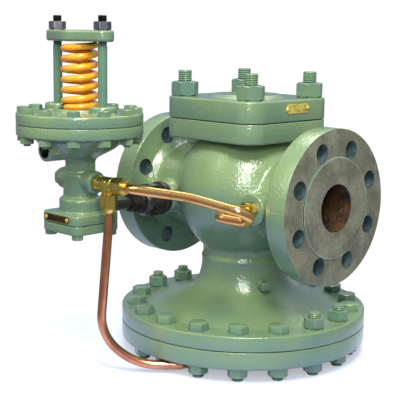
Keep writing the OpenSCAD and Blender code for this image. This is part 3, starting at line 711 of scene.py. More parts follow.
def orange_enamel(name):
    g = Graph(name)
    colour = g.patches(g.noise(14, 3), (0.93, 0.33, 0.012), (0.97, 0.45, 0.022))
    # Painted shade: the orange darkens to deep red in its corners.
    colour = g.mix(g.painted_corner_shade(5, 0.2, 0.8, 0.5), colour, (0.50, 0.09, 0.01))
    return g.finish(Base_Color=colour, Roughness=g.fade(g.noise(6, 2), 0.3, 0.7, 0.2, 0.34),
                    Normal=g.bump(g.noise(3.0, 3, 0.5), 0.08), Coat_Weight=0.5, Coat_Roughness=0.1)


def fibre_sheet(name):
    g = Graph(name)
    colour = g.patches(g.noise(2, 5, 0.7), (0.010, 0.010, 0.010), (0.030, 0.028, 0.025), 0.4)
    return g.finish(Base_Color=colour, Roughness=0.8, Normal=g.bump(g.noise(0.8, 4), 0.1))


MATERIAL = {name: maker(name, *values) for name, maker, *values in (
    ("cast_green", green_enamel, 0.12, 0.52),
    ("fastener_green", green_enamel, 0.12, 0.16, (0.95, 1.0, 1.02)),
    ("stud_green", green_enamel, 0.08, 0.05, (0.72, 0.90, 1.12)),
    ("plate_brass", yellow_metal, (0.92, 0.74, 0.20), (0.72, 0.50, 0.09), (0.16, 0.11, 0.03),
     (0.2, 0.4), 0.35),
    ("stainless", grey_steel, (0.62, 0.62, 0.63), (0.46, 0.46, 0.47), (0.2, 0.35)),
    ("bronze", yellow_metal, (0.68, 0.44, 0.20), (0.48, 0.30, 0.12), (0.12, 0.07, 0.03)),
    ("gasket_sheet", fibre_sheet),
    ("plated_steel", grey_steel, (0.40, 0.39, 0.42), (0.17, 0.16, 0.18), (0.24, 0.42), 0.9),
    ("spring_orange", orange_enamel),
    ("black_iron", oiled_iron),
    ("fitting_brass", yellow_metal, (0.90, 0.66, 0.17), (0.55, 0.37, 0.07), (0.13, 0.08, 0.02)),
    ("copper", drawn_copper, (0.95, 0.52, 0.19), (0.84, 0.38, 0.15)),
    ("dull_copper", drawn_copper, (0.82, 0.36, 0.19), (0.62, 0.24, 0.14)),
    ("cover_field", yellow_metal, (0.84, 0.66, 0.16), (0.55, 0.38, 0.07), (0.09, 0.06, 0.02),
     (0.25, 0.45), 0.35),
    ("plate_field", yellow_metal, (0.40, 0.29, 0.06), (0.26, 0.17, 0.04), (0.07, 0.045, 0.015), (0.3, 0.5)),
    ("tarnish", yellow_metal, (0.16, 0.11, 0.04), (0.07, 0.05, 0.03), (0.03, 0.02, 0.01), (0.3, 0.5)),
    ("machined_face", bare_machined),
    ("steam_passage", rusty_bore),
    ("hole_paint", hole_paint),
    ("dark_thread", grey_steel, (0.060, 0.055, 0.055), (0.015, 0.014, 0.014), (0.35, 0.5)),
)}

for node, obj in NODES.items():
    obj.data.materials.clear()
    obj.data.materials.append(MATERIAL[SLOT_OF[node]])
    smooth_shade(obj)


# ---------- valve body ----------

BORE_ENDS = (-84, 66)            # where the straight pipe bores end, from the stem
INLET_PORT = shift(PILOT_X, -57.0, UNION_Z)
OUTLET_PORT = shift(BLEED.x, -69.0, BLEED.z)
PORTS = (                        # place, boss radius, passage depth
    (INLET_PORT @ TO_Y, 19.0, 36.0), (OUTLET_PORT @ TO_Y, 17.0, 48.0))


def pipe_end(grow):
    """One end of the body, standing on its raised face; grow shrinks or swells the flange disc."""
    return solid([
        (20, RAISED_FACE_H - grow, 0), (PIPE_FLANGE_R + grow, RAISED_FACE_H - grow, 1.2),
        (PIPE_FLANGE_R + grow, PIPE_FLANGE_T + grow, 2.0), (NECK_R + 9, PIPE_FLANGE_T + grow, 0),
        (NECK_R, PIPE_FLANGE_T + 10, 8), (NECK_R, STEM_X - 20, 0)])


def sharp_flange():
    """The turned disc of a pipe flange, with its raised face."""
    return solid([
        (RAISED_FACE_R - 8, 0, 0), (RAISED_FACE_R, 0, 0.25), (RAISED_FACE_R, RAISED_FACE_H, 0),
        (PIPE_FLANGE_R, RAISED_FACE_H, 0.5), (PIPE_FLANGE_R, PIPE_FLANGE_T, 1.6),
        (NECK_R - 8, PIPE_FLANGE_T, 0)], 160, 4)


def bell_outline():
    """From the waist under the globe down to the foot of the bell, then in to the axis."""
    seam = -67.5
    lip = [(20, -30), (44, -44), (46.2, -56), (45.6, seam + 1.2), (44.4, seam), (47.6, seam - 0.4),
           (47.8, seam - 2)]
    bell = smooth_curve([(46.9, -74), (47.5, -82), (50, -93), (54.5, -101), (62, -107), (74, -111.5),
                         (90, -116), (102, -120), (112, CASING_TOP + 0.4)])
    return [(20, CASING_JOINT + 4), (112, CASING_JOINT + 4)] + [tuple(p) for p in bell[::-1]] + lip[::-1]


def body_core():
    """Everything on the body that comes straight from the mould."""
    core = [
        ball(GLOBE_R, AT_STEM @ shift(z=GLOBE_Z)),
        disc(50, 40, TOP_FACE - 3).at(AT_STEM),
        turned(bell_outline(), 160).at(AT_STEM),
        disc(CASING_R - 0.7, CASING_JOINT + 0.6, CASING_TOP - 0.5, 0, 1.5, 160).at(AT_STEM),
        plate(round_square(TOP_HALF - 0.6, TOP_CORNER), TOP_FACE - TOP_FLANGE_T + 0.6, TOP_FACE - 0.6,
              2, 1).at(AT_STEM),
        pipe_end(-0.7).at(TO_X),
        pipe_end(-0.7).at(FAR_END),
    ]
    core += [disc(r + 0.2, 1.2, 40, 1.5, 0, 72).at(place) for place, r, _ in PORTS]
    return cast("valve_body", shift(), core, 1.45, 14, 0.06)


def passages():
    """The ways through the body, each a shape to cut."""
    def bar(r, start, end, place):
        return disc(r, start, end, sides=72).at(place)

    def slanted(x, direction, r, length):
        turn = Vector(direction).to_track_quat("Z", "Y").to_matrix().to_4x4()
        return bar(r, 0, length, shift(x) @ turn)

    axis = AT_STEM @ TO_X
    inlet_end, outlet_end = BORE_ENDS
    return [
        bar(PIPE_BORE_R, -STEM_X - 1, inlet_end, axis),
        ball(PIPE_BORE_R + 0.01, AT_STEM @ shift(inlet_end)),
        slanted(STEM_X + inlet_end - 4, (60, 0, 46), 21, 68),
        bar(38, 22, TOP_FACE + 1, AT_STEM),
        bar(25, 6, 23, AT_STEM),
        bar(32, -48, 8, AT_STEM),
        slanted(STEM_X + outlet_end, (-52, 0, -22), 24, 56),
        ball(PIPE_BORE_R + 0.01, AT_STEM @ shift(outlet_end)),
        bar(PIPE_BORE_R, outlet_end, STEM_X + 1, axis),
        bar(11 + FIT, -70, -40, AT_STEM),
        turned([(33, -66), (34, -80), (36, -92), (41, -104), (50, -113), (64, -119), (80, -123.5),
                (94, -128), (100, -132), (100, CASING_JOINT - 1)][::-1]).at(AT_STEM),
    ]


def body_finish(centre, normal):
    """1 on the machined end faces, 2 in the steam passages, 3 in the pipe flanges' bolt holes."""
    x, y, z = centre.T
    from_axis, from_stem = np.hypot(y, z), np.abs(x - STEM_X)
    across = np.abs(normal[:, 0])
    end_face = (across > 0.9) & (from_axis < PIPE_FLANGE_R - 0.3)
    end_face &= (x < RAISED_FACE_H + 0.2) | (x > FACE_TO_FACE - RAISED_FACE_H - 0.2)
    inward = (normal[:, 1] * y + normal[:, 2] * z) < 0
    bore = (from_axis < PIPE_BORE_R + 0.2) & (inward | (from_stem < 100))
    inside = (np.hypot(x - STEM_X, y) < 45) & (z > -50) & (z < TOP_FACE + 1) & (from_axis < 48)
    in_neck = (from_axis < PIPE_BORE_R + 6) & (from_stem < 100) & (np.hypot(x - STEM_X, z - GLOBE_Z) < 70)
    in_flange = (x < PIPE_FLANGE_T - 1) | (x > FACE_TO_FACE - PIPE_FLANGE_T + 1)
    index = np.zeros(len(x))
    index[end_face] = 1
    index[bore | inside | in_neck] = 2
    index[in_flange & (from_axis > 50) & (across < 0.3) & (from_axis < 75)] = 3
    return index


def valve_body():
    body = body_core()
    combine(body, [
        sharp_flange().at(TO_X),
        sharp_flange().at(FAR_END),
        disc(CASING_R, CASING_JOINT, CASING_TOP, 0.9, 1.8, 220).at(AT_STEM),
        plate(round_square(TOP_HALF, TOP_CORNER), TOP_FACE - TOP_FLANGE_T, TOP_FACE, 2.2, 0.9).at(AT_STEM),
    ], "UNION")
    combine(body, [disc(r, 0, 12, 1.6, 0, 72).at(place) for place, r, _ in PORTS], "UNION")
    for way in passages():
        combine(body, way)
    bolt_holes = []
    for end, bolts in zip((TO_X, FAR_END), PIPE_BOLTS):
        places = ring_places(end, bolts["count"], bolts["pcd_mm"] / 2, 180 / bolts["count"])
        bolt_holes += holes(bolts["hole_r_mm"], -1, PIPE_FLANGE_T + 6, places, 48)
    bolt_holes += holes(CASING_HOLE_R, CASING_JOINT - 1, CASING_TOP + 1, CASING_PLACES)
    combine(body, bolt_holes + holes(COVER_STUD_D / 2 + FIT, 66, TOP_FACE + 1, COVER_CORNERS))
    for place, _, depth in PORTS:
        combine(body, tapped(-1, 12).at(place))
        combine(body, disc(5, 0, depth, sides=36).at(place))
    combine(body, disc(PLUG_R + FIT, 30, 60, sides=40).at(PLUG_PLACE))
    paint_faces(body, body_finish)
    dress("valve_body", body, "cast_green", "machined_face", "steam_passage", "hole_paint")


# ---------- covers ----------

def top_cover():
    cover = cast("top_cover", AT_STEM, [
        plate(round_square(TOP_HALF - 0.3, TOP_CORNER), COVER_LOW + 0.4, COVER_TOP - 0.1, 1, 2.4),
        solid([(20, COVER_TOP - 6, 0), (46, COVER_TOP - 6, 0), (38.5, COVER_TOP + 2.8, 2),
               (10, COVER_TOP + 2.8, 0)]),
    ], 1.3, 6, 0.18)
    slab = plate(round_square(TOP_HALF, TOP_CORNER), COVER_LOW, COVER_TOP - 0.25, 0.9, 2.4)
    combine(cover, slab.at(AT_STEM), "UNION")
    combine(cover, disc(19, COVER_LOW - 1, COVER_LOW + 12, sides=48).at(AT_STEM))
    combine(cover, holes(COVER_HOLE_R, COVER_LOW - 1, COVER_TOP + 2, COVER_CORNERS, 40))
    spot_face = tube(15.2, COVER_HOLE_R, COVER_TOP - 1, COVER_TOP, 0.2)
    combine(cover, each(spot_face, COVER_CORNERS), "UNION")
    dress("top_cover", cover)


def lower_cover():
    recess, boss_r, wet_r = 97.0, 17.0, 95
    outline = rounded([
        (boss_r, CASING_FOOT + 2, 1.2), (boss_r, CASING_FOOT + 6, 3), (recess, CASING_FOOT + 6, 3),
        (106, CASING_FOOT, 2), (CASING_R, CASING_FOOT, 2.2), (CASING_R, RIM_TOP, 0.9), (wet_r, RIM_TOP, 0.3),
        (wet_r, RIM_TOP - 5, 1), (30, RIM_TOP - 5, 0)], steps=4)
    dish = turned([(8, CASING_FOOT + 2)] + [tuple(p) for p in outline], 220)
    cover = bare("lower_cover_visual", dish.at(AT_STEM))
    combine(cover, holes(CASING_HOLE_R, CASING_FOOT - 1, RIM_TOP + 1, CASING_PLACES)
            + [tapped(CASING_FOOT - 1, RIM_TOP).at(AT_STEM)])
    dress("lower_cover", cover)


def gasket(node, outline, places, hole_r, centre_r, base):
    bottom, top = low(node).z, high(node).z
    sheet = bare(node + "_visual", plate(outline, bottom, top, 0.1, 0.1, steps=1).at(base))
    cuts = holes(hole_r, bottom - 1, top + 1, places, 24)
    if centre_r:
        cuts += holes(centre_r, bottom - 1, top + 1, [base], 64)
    combine(sheet, cuts)
    dress(node, sheet)


# ---------- pilot castings ----------

def pilot_body():
    square_top = PILOT_FOOT + 10
    bowl = smooth_curve([(15.7, 40), (15.8, 44), (18, 47.5), (24, 51), (36, 57.5), (44, 64), (47, 68),
                         (48, 73)])
    core = [
        disc(PILOT_R - 0.4, PILOT_UNDER + 0.4, PILOT_JOINT - 0.4, 1, 0.5, 120),
        turned([(8, 20), (15.7, 20)] + [tuple(p) for p in bowl] + [(20, 70)]),
        disc(18, -2, 33, 0, 3, 72),
        disc(22.2, PILOT_FOOT + 4, 6.5, 0, 3, 72),
        plate(round_square(PILOT_SQUARE - 0.4, 9), PILOT_FOOT + 0.3, square_top - 0.2, 0.5, 1.5),
    ]
    bosses = ((PLUG_SIDE, 12, 27), (TEE_SIDE, 12, 27), (UNION_SIDE, 10, 34), (CONTROL_SIDE, 11.5, 46))
    core += [disc(r - 0.1, 0, length - 0.1, 0, 1.2, 64).at(side) for side, r, length in bosses]
    body = cast("pilot_body", AT_PILOT, core, 0.95, 8, 0.14)
    combine(body, [
        disc(PILOT_R, PILOT_UNDER, PILOT_JOINT, 2.0, 0.8, 160).at(AT_PILOT),
        plate(round_square(PILOT_SQUARE, 9), PILOT_FOOT, square_top, 0.4, 1.5).at(AT_PILOT),
    ], "UNION")
    thread = rod(QUARTER_THREAD_R + 0.75, 33, 48, QUARTER_PITCH, [(33, 48)], 0.05, 48)
    for cut in (
        turned([(30, 71), (44, 73), (44, PILOT_JOINT + 1)]), disc(8, 46, 72, sides=40),
        disc(6.02, 33, 47, sides=40), disc(9.5, 14, 34.5, sides=40), disc(8.02, 6, 15, sides=40),
        disc(13, PILOT_FOOT - 1, 7, sides=48), tapped(15, 28).at(TEE_SIDE), tapped(15, 28).at(PLUG_SIDE),
        disc(5, -27, 27, sides=32).at(TEE_SIDE), tapped(22, 35).at(UNION_SIDE),
        disc(5, 5, 34, sides=32).at(UNION_SIDE), disc(4, 5, 46, sides=32).at(CONTROL_SIDE),
    ):
        combine(body, cut.at(AT_PILOT))
    combine(body, thread.at(AT_PILOT @ CONTROL_SIDE))
    combine(body, holes(PILOT_HOLE_R, PILOT_UNDER - 1, PILOT_JOINT + 1, PILOT_PLACES, 28)
            + holes(3.22, PILOT_FOOT - 1, PILOT_FOOT + 8, CAP_CORNERS, 24))

    def in_port(centre, normal):
        from_axis = np.hypot(centre[:, 0] - PILOT_X, centre[:, 2] - CONTROL_Z)
        return (from_axis < 7.7) & (centre[:, 1] < PILOT_Y - 20)

    paint_faces(body, in_port)
    dress("pilot_body", body, "cast_green", "dark_thread")


def pilot_upper_flange():
    boss = disc(13.9, PILOT_TOP - 4, PILOT_BOSS_TOP - 0.1, 0, 1.8, 64)
    flange = cast("pilot_upper_flange", AT_PILOT, [
        disc(PILOT_R - 0.4, PILOT_UPPER + 0.4, PILOT_TOP - 0.3, 0.5, 1, 120),
        boss.at(shift(-ADJUST_HALF)),
        boss.at(shift(ADJUST_HALF)),
        disc(26.8, PILOT_TOP - 4, SPRING_SEAT + 2.3, 0, 1.5),
    ], 0.95, 7, 0.14)
    combine(flange, disc(PILOT_R, PILOT_UPPER, PILOT_TOP, 0.8, 1.8, 160).at(AT_PILOT), "UNION")
    combine(flange, disc(42, PILOT_UPPER - 1, PILOT_UPPER + 5, sides=64).at(AT_PILOT))
    combine(flange, disc(23, PILOT_UPPER, PILOT_BOSS_TOP + 1, sides=64).at(AT_PILOT))
    combine(flange, holes(PILOT_HOLE_R, PILOT_UPPER - 1, PILOT_TOP + 1, PILOT_PLACES, 28)
            + holes(ADJUST_STUD_D / 2 + FIT, 90, PILOT_BOSS_TOP + 1, ADJUST_PLACES, 28))
    dress("pilot_upper_flange", flange)


def yoke_plate():
    slab = plate(lozenge(ADJUST_HALF, 11.5, 20.5), YOKE_LOW + 0.05, YOKE_TOP - 0.05, 2.2, 2.2)
    yoke = cast("yoke_plate", AT_PILOT, [slab], 0.8, 3, 0.1)
    combine(yoke, holes(ADJUST_STUD_D / 2 + 0.4, YOKE_LOW - 1, YOKE_TOP + 1, ADJUST_PLACES, 32))
    dress("yoke_plate", yoke)


def pilot_bottom_cap():
    top = high("pilot_bottom_cap").z
    slab = plate(round_square(PILOT_SQUARE - 0.1, 9), CAP_LOW + 0.1, top - 0.1, 1.2, 0.4)
    cap = cast("pilot_bottom_cap", AT_PILOT, [slab], 0.9, 2, 0.1)
    combine(cap, disc(9, top - 4, top + 1, sides=40).at(AT_PILOT))
    combine(cap, holes(CAP_HOLE_R, CAP_LOW - 1, top + 1, CAP_CORNERS, 24))
    dress("pilot_bottom_cap", cap)



# ---------- fasteners ----------

def tighten(i):
    """How far a hexagon happened to be turned when it was tightened."""
    return spin(37 * i % 60)


def numbered(shapes, places):
    """The shapes at each (number, place), turned as they were tightened."""
    return [s.at(p @ tighten(i)) for i, p in places for s in shapes]


def fasteners():
    half_open = (False, True)
    stud_top = high("cover_studs").z
    stud = rod(COVER_STUD_D / 2, 67, stud_top, INCH / 11, [(102, stud_top)], 1.2)
    dress("cover_studs", each(stud, COVER_CORNERS))
    nut = hexagon(27, COVER_TOP, COVER_TOP + 15.5, COVER_STUD_D / 2 + FIT)
    dress("cover_nuts", each(nut, COVER_CORNERS))

    r, pitch, flats = INCH / 4, INCH / 13, 19.05
    nut = hexagon(flats, CASING_FOOT - CASING_NUT_H, CASING_FOOT, r + FIT)
    top_nut = hexagon(flats, CASING_TOP, CASING_TOP + CASING_NUT_H, r + FIT)
    head = hexagon(flats, CASING_TOP, CASING_TOP + HEAD_H, chamfer=half_open)
    shank = rod(r, STANCE, CASING_TOP + 0.5, pitch, [(STANCE, CASING_FOOT + 6)])
    stud_top = high("flange_studs").z
    stud = rod(r, STANCE, stud_top, pitch, [(STANCE, CASING_FOOT + 6), (CASING_TOP + 4, stud_top)])
    places = list(enumerate(CASING_PLACES))
    studs = [(i, p) for i, p in places if i in STUD_PLACES]
    dress("flange_bolts", numbered([head, shank], [(i, p) for i, p in places if i not in STUD_PLACES]))
    dress("flange_studs", [stud.at(p) for _, p in studs])
    dress("flange_nuts", numbered([nut], places) + numbered([top_nut], studs))

    r, flats, end = PILOT_BOLT_D / 2, 12.7, low("pilot_flange_bolts").z
    head = hexagon(flats, PILOT_TOP, PILOT_TOP + PILOT_HEAD_H, chamfer=half_open, sides=72)
    shank = rod(r, end, PILOT_TOP + 0.5, INCH / 18, [(end, PILOT_UNDER + 1)], 0.6, 28)
    nut = hexagon(flats, low("pilot_flange_nuts").z, PILOT_UNDER, r + FIT, sides=72)
    places = list(enumerate(PILOT_PLACES))
    dress("pilot_flange_bolts", numbered([head, shank], places))
    dress("pilot_flange_nuts", numbered([nut], places))

    head_h = CAP_LOW - low("pilot_cap_screws").z
    head = hexagon(11.1, 0, head_h, chamfer=half_open, sides=72).at(shift(z=CAP_LOW) @ TO_MINUS_Z)
    shank = rod(3.2, CAP_LOW - 0.5, PILOT_FOOT + 7, INCH / 20, [(CAP_LOW + 4, PILOT_FOOT + 7)], 0.5, 24)
    dress("pilot_cap_screws", numbered([head, shank], enumerate(CAP_CORNERS)))

    stud_low, stud_top = low("adjusting_studs").z, high("adjusting_studs").z
    stud = rod(ADJUST_STUD_D / 2, stud_low, stud_top, INCH / 16, [(YOKE_LOW - 4, stud_top)], 1.0)
    studs = bare("adjusting_studs_visual", each(stud, ADJUST_PLACES))
    paint_faces(studs, lambda centre, normal: centre[:, 2] > YOKE_TOP)
    dress("adjusting_studs", studs, "stud_green", "dark_thread")
    for node, place in zip(("adjusting_nut_left", "adjusting_nut_right"), ADJUST_PLACES):
        nut = hexagon(TUBE_NUT_FLATS, low(node).z, high(node).z, ADJUST_STUD_D / 2 + 0.03)
        dress(node, nut.at(place))


def plugs():
    square = plate(round_square(4.8, 2.2, steps=4), 52, 60.5, 0, 1.6)
    dress("body_plug", each_of([rod(PLUG_R, 40, 53, QUARTER_PITCH, [(41, 52)], 0.6), square], PLUG_PLACE))
    side = [hexagon(17.5, 27, 33, chamfer=(False, True)),
            rod(QUARTER_THREAD_R, 17, 27.5, QUARTER_PITCH, [(17, 26)], 0.5)]
    dress("pilot_side_plug", each_of(side, AT_PILOT @ PLUG_SIDE))


# ---------- springs ----------


def springs():
    spring = coil(39, 6.9, SPRING_SEAT, YOKE_LOW, 6.4, (0.8, 0.4)).at(AT_PILOT @ spin(262))
    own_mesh(dress("range_spring", spring))
    bottom, top = low("main_spring").z, high("main_spring").z
    spring = coil(34, 3.4, bottom, top, 7.5, steps=36, sides=14).at(AT_STEM)
    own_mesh(dress("main_spring", spring))
    bottom, top = low("pilot_return_spring").z, high("pilot_return_spring").z
    dress("pilot_return_spring", coil(12, 1.4, bottom, top, 6.5, steps=32, sides=12).at(AT_PILOT))


# ---------- pipework ----------

def union():
    """The black union and nipples between the pilot and the body, as heights along +Y."""
    def piece(node, *shapes):
        dress(node, each_of(shapes, shift(PILOT_X, 0, UNION_Z) @ TO_Y))

    face, thread, hub, ball_r = PILOT_Y + 34, QUARTER_THREAD_R + FIT, 11 + FIT, 15.5
    piece("pilot_nipple", hollow([
        (NIPPLE_BORE, face - 10, 0.2), (QUARTER_THREAD_R, face - 10, 0.6), (QUARTER_THREAD_R, -98, 0.6),
        (NIPPLE_BORE, -98, 0.2)], 48))
    tail = hollow([
        (thread, -108, 0.4), (9, -108, 0.6), (9, -95, 0), (11, -95, 0.5), (11, -84, 0), (15, -84, 0.5),
        (15, -80, 1.0), (NIPPLE_BORE, -80, 0.5), (NIPPLE_BORE, -97.5, 0), (thread, -97.5, 0)], 64)
    piece("union_pilot_half", tail, hexagon(20, -108, -95, 8))
    collar = hollow([
        (hub, -92, 0.3), (14, -92, 0.8), (17.4, -87, 0.6), (17.4, -66, 0.6), (ball_r + FIT, -66, 0.4),
        (ball_r + FIT, -84, 0.4), (hub, -84, 0.3)], 80)
    piece("union_nut", collar, hexagon(33.5, -87, -66, 16))
    piece("union_body_half", hollow([
        (NIPPLE_BORE, -79.9, 0.5), (ball_r, -79.9, 0.8), (ball_r, -66, 0), (19, -66, 0.8), (19, -59, 1.5),
        (thread, -59, 0.3), (thread, -68, 0), (NIPPLE_BORE, -68, 0)], 80))
    piece("body_nipple", tube(QUARTER_THREAD_R, NIPPLE_BORE, -67.5, -47))


def tube_nut(length=15.0, nose=4.0):
    """A compression nut: hexagon, then a nose where the tube leaves."""
    inner = TUBE_D / 2 + FIT
    cone = hollow([(inner, length - 6, 0), (7.4, length - 6, 0), (7.4, length, 0.4), (6.1, length + nose, 0.8),
                   (inner, length + nose, 0.3)], 56, 4)
    return merged([hexagon(TUBE_NUT_FLATS, 0, length, inner), cone])


def brass():
    tee = shift(0, PILOT_Y, TEE_Z)
    face = PILOT_X + 27
    run = [
        rod(QUARTER_THREAD_R, face - 10, face, QUARTER_PITCH, [(face - 9, face - 0.5)], 0.5),
        hexagon(14.3, face, face + 4.5),
        solid([(5, face + 4, 0), (6.9, face + 4, 0), (6.9, TEE_X - 9, 0.6), (8.1, TEE_X - 7.5, 0.8),
               (8.1, TEE_X + 7.5, 0.8), (6.9, TEE_X + 9, 0.6), (6.6, TEE_X + 17, 0.5), (4, TEE_X + 17, 0)], 64),
    ]
    leg = solid([(4, -17.5, 0), (6.6, -17.5, 0.5), (6.9, -9.5, 0.4), (8.0, -8.0, 0.8), (8.0, 5.0, 3.0),
                 (3, 7.0, 0)], 64).at(shift(TEE_X))
    dress("tee_fitting", each_of(each_of(run, TO_X) + [leg], tee))
    nuts = each(tube_nut(), [shift(TEE_X + 9) @ TO_X, shift(TEE_X, 0, -9.5) @ TO_MINUS_Z])
    dress("tee_nuts", each_of(nuts, tee))

    port = OUTLET_PORT @ TO_MINUS_Y
    dress("bleed_fitting", each_of([
        rod(QUARTER_THREAD_R, -10, 1, QUARTER_PITCH, [(-9, -0.5)], 0.5), hexagon(17.5, 0, 9),
        solid([(5, 8, 0), (6.6, 8, 0), (6.6, 27, 0.5), (5, 27, 0)], 48)], port))
    dress("bleed_nut", tube_nut().at(port @ shift(z=19)))

    elbow = shift(*LOADING_END)
    side = LOADING_WAY.cross(Vector((0, 0, 1))).normalized()
    facing = Matrix((side, LOADING_WAY.cross(side), LOADING_WAY)).transposed().to_4x4()
    knee = swept(rounded([(0, 0, 9, 0), (0, 0, 0, 7.2), (*(LOADING_WAY * 9), 0)], steps=10), 7.3, 3.6)
    stub = tube(QUARTER_THREAD_R, 3.6, 8, CASING_FOOT + 10 - UNDER_Z, 0.5)
    arm = tube(6.8, 3.9, 8, 31, 0.5).at(facing)
    dress("loading_fitting", each_of([knee, stub, arm], elbow))
    dress("loading_nut", tube_nut(14, 4).at(elbow @ facing @ shift(z=22)))


UNDER_Z = low("loading_tube").z + TUBE_D / 2
BLEED_LINE = [                   # corners and their bend radii
    (TEE_X + 12, PILOT_Y, TEE_Z, 0), (STEM_X + 9, PILOT_Y, TEE_Z, 30), (STEM_X + 64, -151, 20, 160),
    (STEM_X + 114, -128.4, 9, 12), (STEM_X + 110, -108.8, -5, 12), (BLEED.x, -124, BLEED.z, 8.5),
    (BLEED.x, -94, BLEED.z, 0)]
LOADING_LINE = [
    (TEE_X, PILOT_Y, TEE_Z - 13, 0), (TEE_X, PILOT_Y, -12, 60), (STEM_X - 35.6, -181, -132.5, 46),
    (STEM_X - 11.2, -156, UNDER_Z, 64), (STEM_X + 25.5, -116.8, UNDER_Z, 20)]
LOADING_END = Vector((STEM_X, 0, UNDER_Z))
LOADING_WAY = (Vector(LOADING_LINE[-1][:3]) - LOADING_END).normalized()


def copper_line(node, line, *materials):
    path = dense(rounded(line, steps=14))
    dress(node, swept(path, TUBE_D / 2, TUBE_D / 2 - TUBE_WALL), *materials)


# ---------- name plates, left blank ----------

def name_plate(node, half_w, half_h, notch, pin_x, place, rim, field_finish):
    """A blank stamped plate with a raised rim and cut corners, held by two drive pins."""
    inner = half_w - notch
    quarter = [(half_w, half_h - notch), (inner, half_h - notch), (inner, half_h)]
    corners = [(half_w, -half_h + notch)] + quarter + [(-x, y) for x, y in quarter[::-1]]
    corners += [(-x, -y) for x, y in quarter] + [(x, -y) for x, y in quarter[:0:-1]]
    outline = rounded([(x, y, 0.35) for x, y in corners], closed=True, steps=2)
    sheet = bare(node + "_visual", plate(outline, 0, 0.78, 0, 0.15, steps=2).at(place))
    field = plate(round_square(1, 0.3, 3) * (inner - 1.3, half_h - 1.0), 0.55, 1, 0, 0, steps=1)
    combine(sheet, field.at(place))
    turn = np.array(place.inverted())

    def in_field(centre, normal):
        across, along, height = (centre @ turn[:3, :3].T + turn[:3, 3]).T
        flat = (height > 0.3) & (height < 0.7)
        return flat & (np.abs(across) < inner - 1.2) & (np.abs(along) < half_h - 0.9)

    paint_faces(sheet, in_field)
    dress(node, sheet, rim, field_finish)
    pin = solid([(0.4, -0.3, 0), (1.2, -0.3, 0), (1.2, 0.7, 0), (2.2, 0.78, 0.2), (1.6, 1.7, 0.6),
                 (0.4, 1.95, 0)], 24, 3)
    dress(node + "_pins", each(pin, [place @ shift(-pin_x), place @ shift(pin_x)]))


def plates():
    spot = middle("cover_nameplate")
    turn = Matrix(((0, 0, 1), (1, 0, 0), (0, 1, 0))).to_4x4()
    name_plate("cover_nameplate", 19, 5, 2.5, 16.5,
               shift(STEM_X + TOP_HALF, spot.y, spot.z) @ turn, "plate_brass", "cover_field")
    spot = middle("pilot_nameplate")
    name_plate("pilot_nameplate", 20, 3.8, 1.8, 17,
               shift(spot.x, PILOT_Y - PILOT_SQUARE, spot.z) @ TO_MINUS_Y, "plate_field", "tarnish")


# ---------- the pieces ----------

valve_body()
top_cover()
lower_cover()
gasket("cover_gasket", round_square(TOP_HALF - 5, TOP_CORNER - 5), COVER_CORNERS, COVER_HOLE_R, 40, AT_STEM)
gasket("main_diaphragm", circle(CASING_R - 5), CASING_PLACES, CASING_HOLE_R, 0, AT_STEM)
gasket("pilot_cap_gasket", round_square(PILOT_SQUARE - 1, 8), CAP_CORNERS, CAP_HOLE_R, 13, AT_PILOT)
pilot_body()
pilot_upper_flange()
yoke_plate()
pilot_bottom_cap()
gasket("pilot_diaphragm", circle(PILOT_R - 2.9), PILOT_PLACES, PILOT_HOLE_R, 0, AT_PILOT)
fasteners()
plugs()
springs()
union()
brass()
copper_line("bleed_tube", BLEED_LINE)
copper_line("loading_tube", LOADING_LINE + [(*(LOADING_END + LOADING_WAY * 28), 0)], "dull_copper")
plates()


# ---------- studio ----------

VALVE_CENTRE = Vector((STEM_X * MM, -0.05, 0.0))
SOFTBOXES = (   # azimuth, elevation, distance, width, height, power, colour
    ("key_light", 49, 50, 1.4, 0.36, 0.50, 17, (1.0, 0.97, 0.87)),
    ("front_light", 42, 22, 1.5, 0.28, 0.32, 8, (0.96, 0.98, 1.0)),
    ("left_light", -25, 38, 1.6, 0.5, 0.9, 4.5, (1.0, 0.99, 0.84)),
    ("back_light", 215, 60, 1.7, 1.0, 0.8, 9, (1.0, 0.98, 0.88)),
)


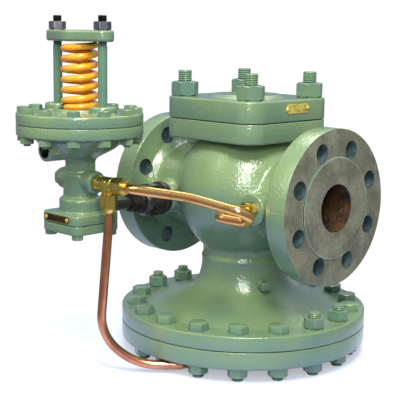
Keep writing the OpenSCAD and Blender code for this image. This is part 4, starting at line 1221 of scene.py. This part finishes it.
def floor():
    corners = [(x, y, STANCE) for x, y in ((-9e3, -9e3), (9e3, -9e3), (9e3, 9e3), (-9e3, 9e3))]
    sheet = bare("floor", Shape(corners, [range(4)]))
    g = Graph("floor")
    foot = (*VALVE_CENTRE.xy, STANCE * MM)
    away = g.node("VectorMath", {0: g.place, 1: foot}, output=1, operation="DISTANCE")
    # Painted shade: near the foot the floor is blue-lavender, which tints the shadow there; further out it is
    # black and only glows.
    colour = g.mix(g.fade(away, 0.17, 0.40), (0.56, 0.60, 0.84), (0.0, 0.0, 0.0))
    # The floor glows white to the camera, less near the foot so that the real shadow shows, and faintly to
    # everything else.
    seen = g.fade(g.seen_by_camera(), 0, 1, 0.22, 1.0)
    glow = g.maths("MULTIPLY", g.fade(away, 0.15, 0.36, 0.42, 1.0), seen)
    sheet.data.materials.append(g.finish(Base_Color=colour, Roughness=0.6, Specular_IOR_Level=0.2,
                                         Emission_Color=(1.0, 1.0, 1.0), Emission_Strength=glow))


def world():
    """White to the camera, and a soft blue-grey sky to everything else."""
    bpy.context.scene.world = bpy.data.worlds.new("studio")
    g = Graph(bpy.context.scene.world)
    height = g.node("MapRange", {"Value": g.axes(g.node("TexCoord", output="Generated"))[2]})
    sky = g.mix(height, (0.190, 0.250, 0.330), (0.56, 0.63, 0.68))
    background = g.tree.nodes["Background"]
    g.link(background.inputs["Color"], g.mix(g.seen_by_camera(), sky, (1.0, 1.0, 1.0)))
    g.link(background.inputs["Strength"], 1.0)


def softbox(name, azimuth, elevation, distance, width, height, power, colour):
    a, e = math.radians(azimuth), math.radians(elevation)
    way = Vector((math.sin(a) * math.cos(e), -math.cos(a) * math.cos(e), math.sin(e)))
    light = bpy.data.lights.new(name, "AREA")
    light.shape, light.size, light.size_y = "RECTANGLE", width, height
    light.energy, light.color = power, colour
    lamp = bpy.data.objects.new(name, light)
    bpy.context.scene.collection.objects.link(lamp)
    lamp.location = VALVE_CENTRE + way * distance
    lamp.rotation_mode = "QUATERNION"
    lamp.rotation_quaternion = way.to_track_quat("Z", "Y")


def camera():
    """The camera stands at the photograph's angle, with its slight roll."""
    place, target = Vector((0.86157, -0.81941, 0.18138)), Vector((0.26474, -0.21202, 0.03439))
    roll = math.radians(0.77)
    forward = (target - place).normalized()
    right = forward.cross(Vector((0, 0, 1))).normalized()
    up = right.cross(forward)
    right, up = right * math.cos(roll) + up * math.sin(roll), up * math.cos(roll) - right * math.sin(roll)
    cam = bpy.data.cameras.new("camera")
    cam.lens, cam.sensor_width = 89.47, 36
    obj = bpy.data.objects.new("camera", cam)
    bpy.context.scene.collection.objects.link(obj)
    obj.matrix_world = Matrix.Translation(place) @ Matrix((right, up, -forward)).transposed().to_4x4()
    bpy.context.scene.camera = obj


floor()
world()
for box in SOFTBOXES:
    softbox(*box)
camera()
bpy.context.scene.view_settings.view_transform = "Standard"
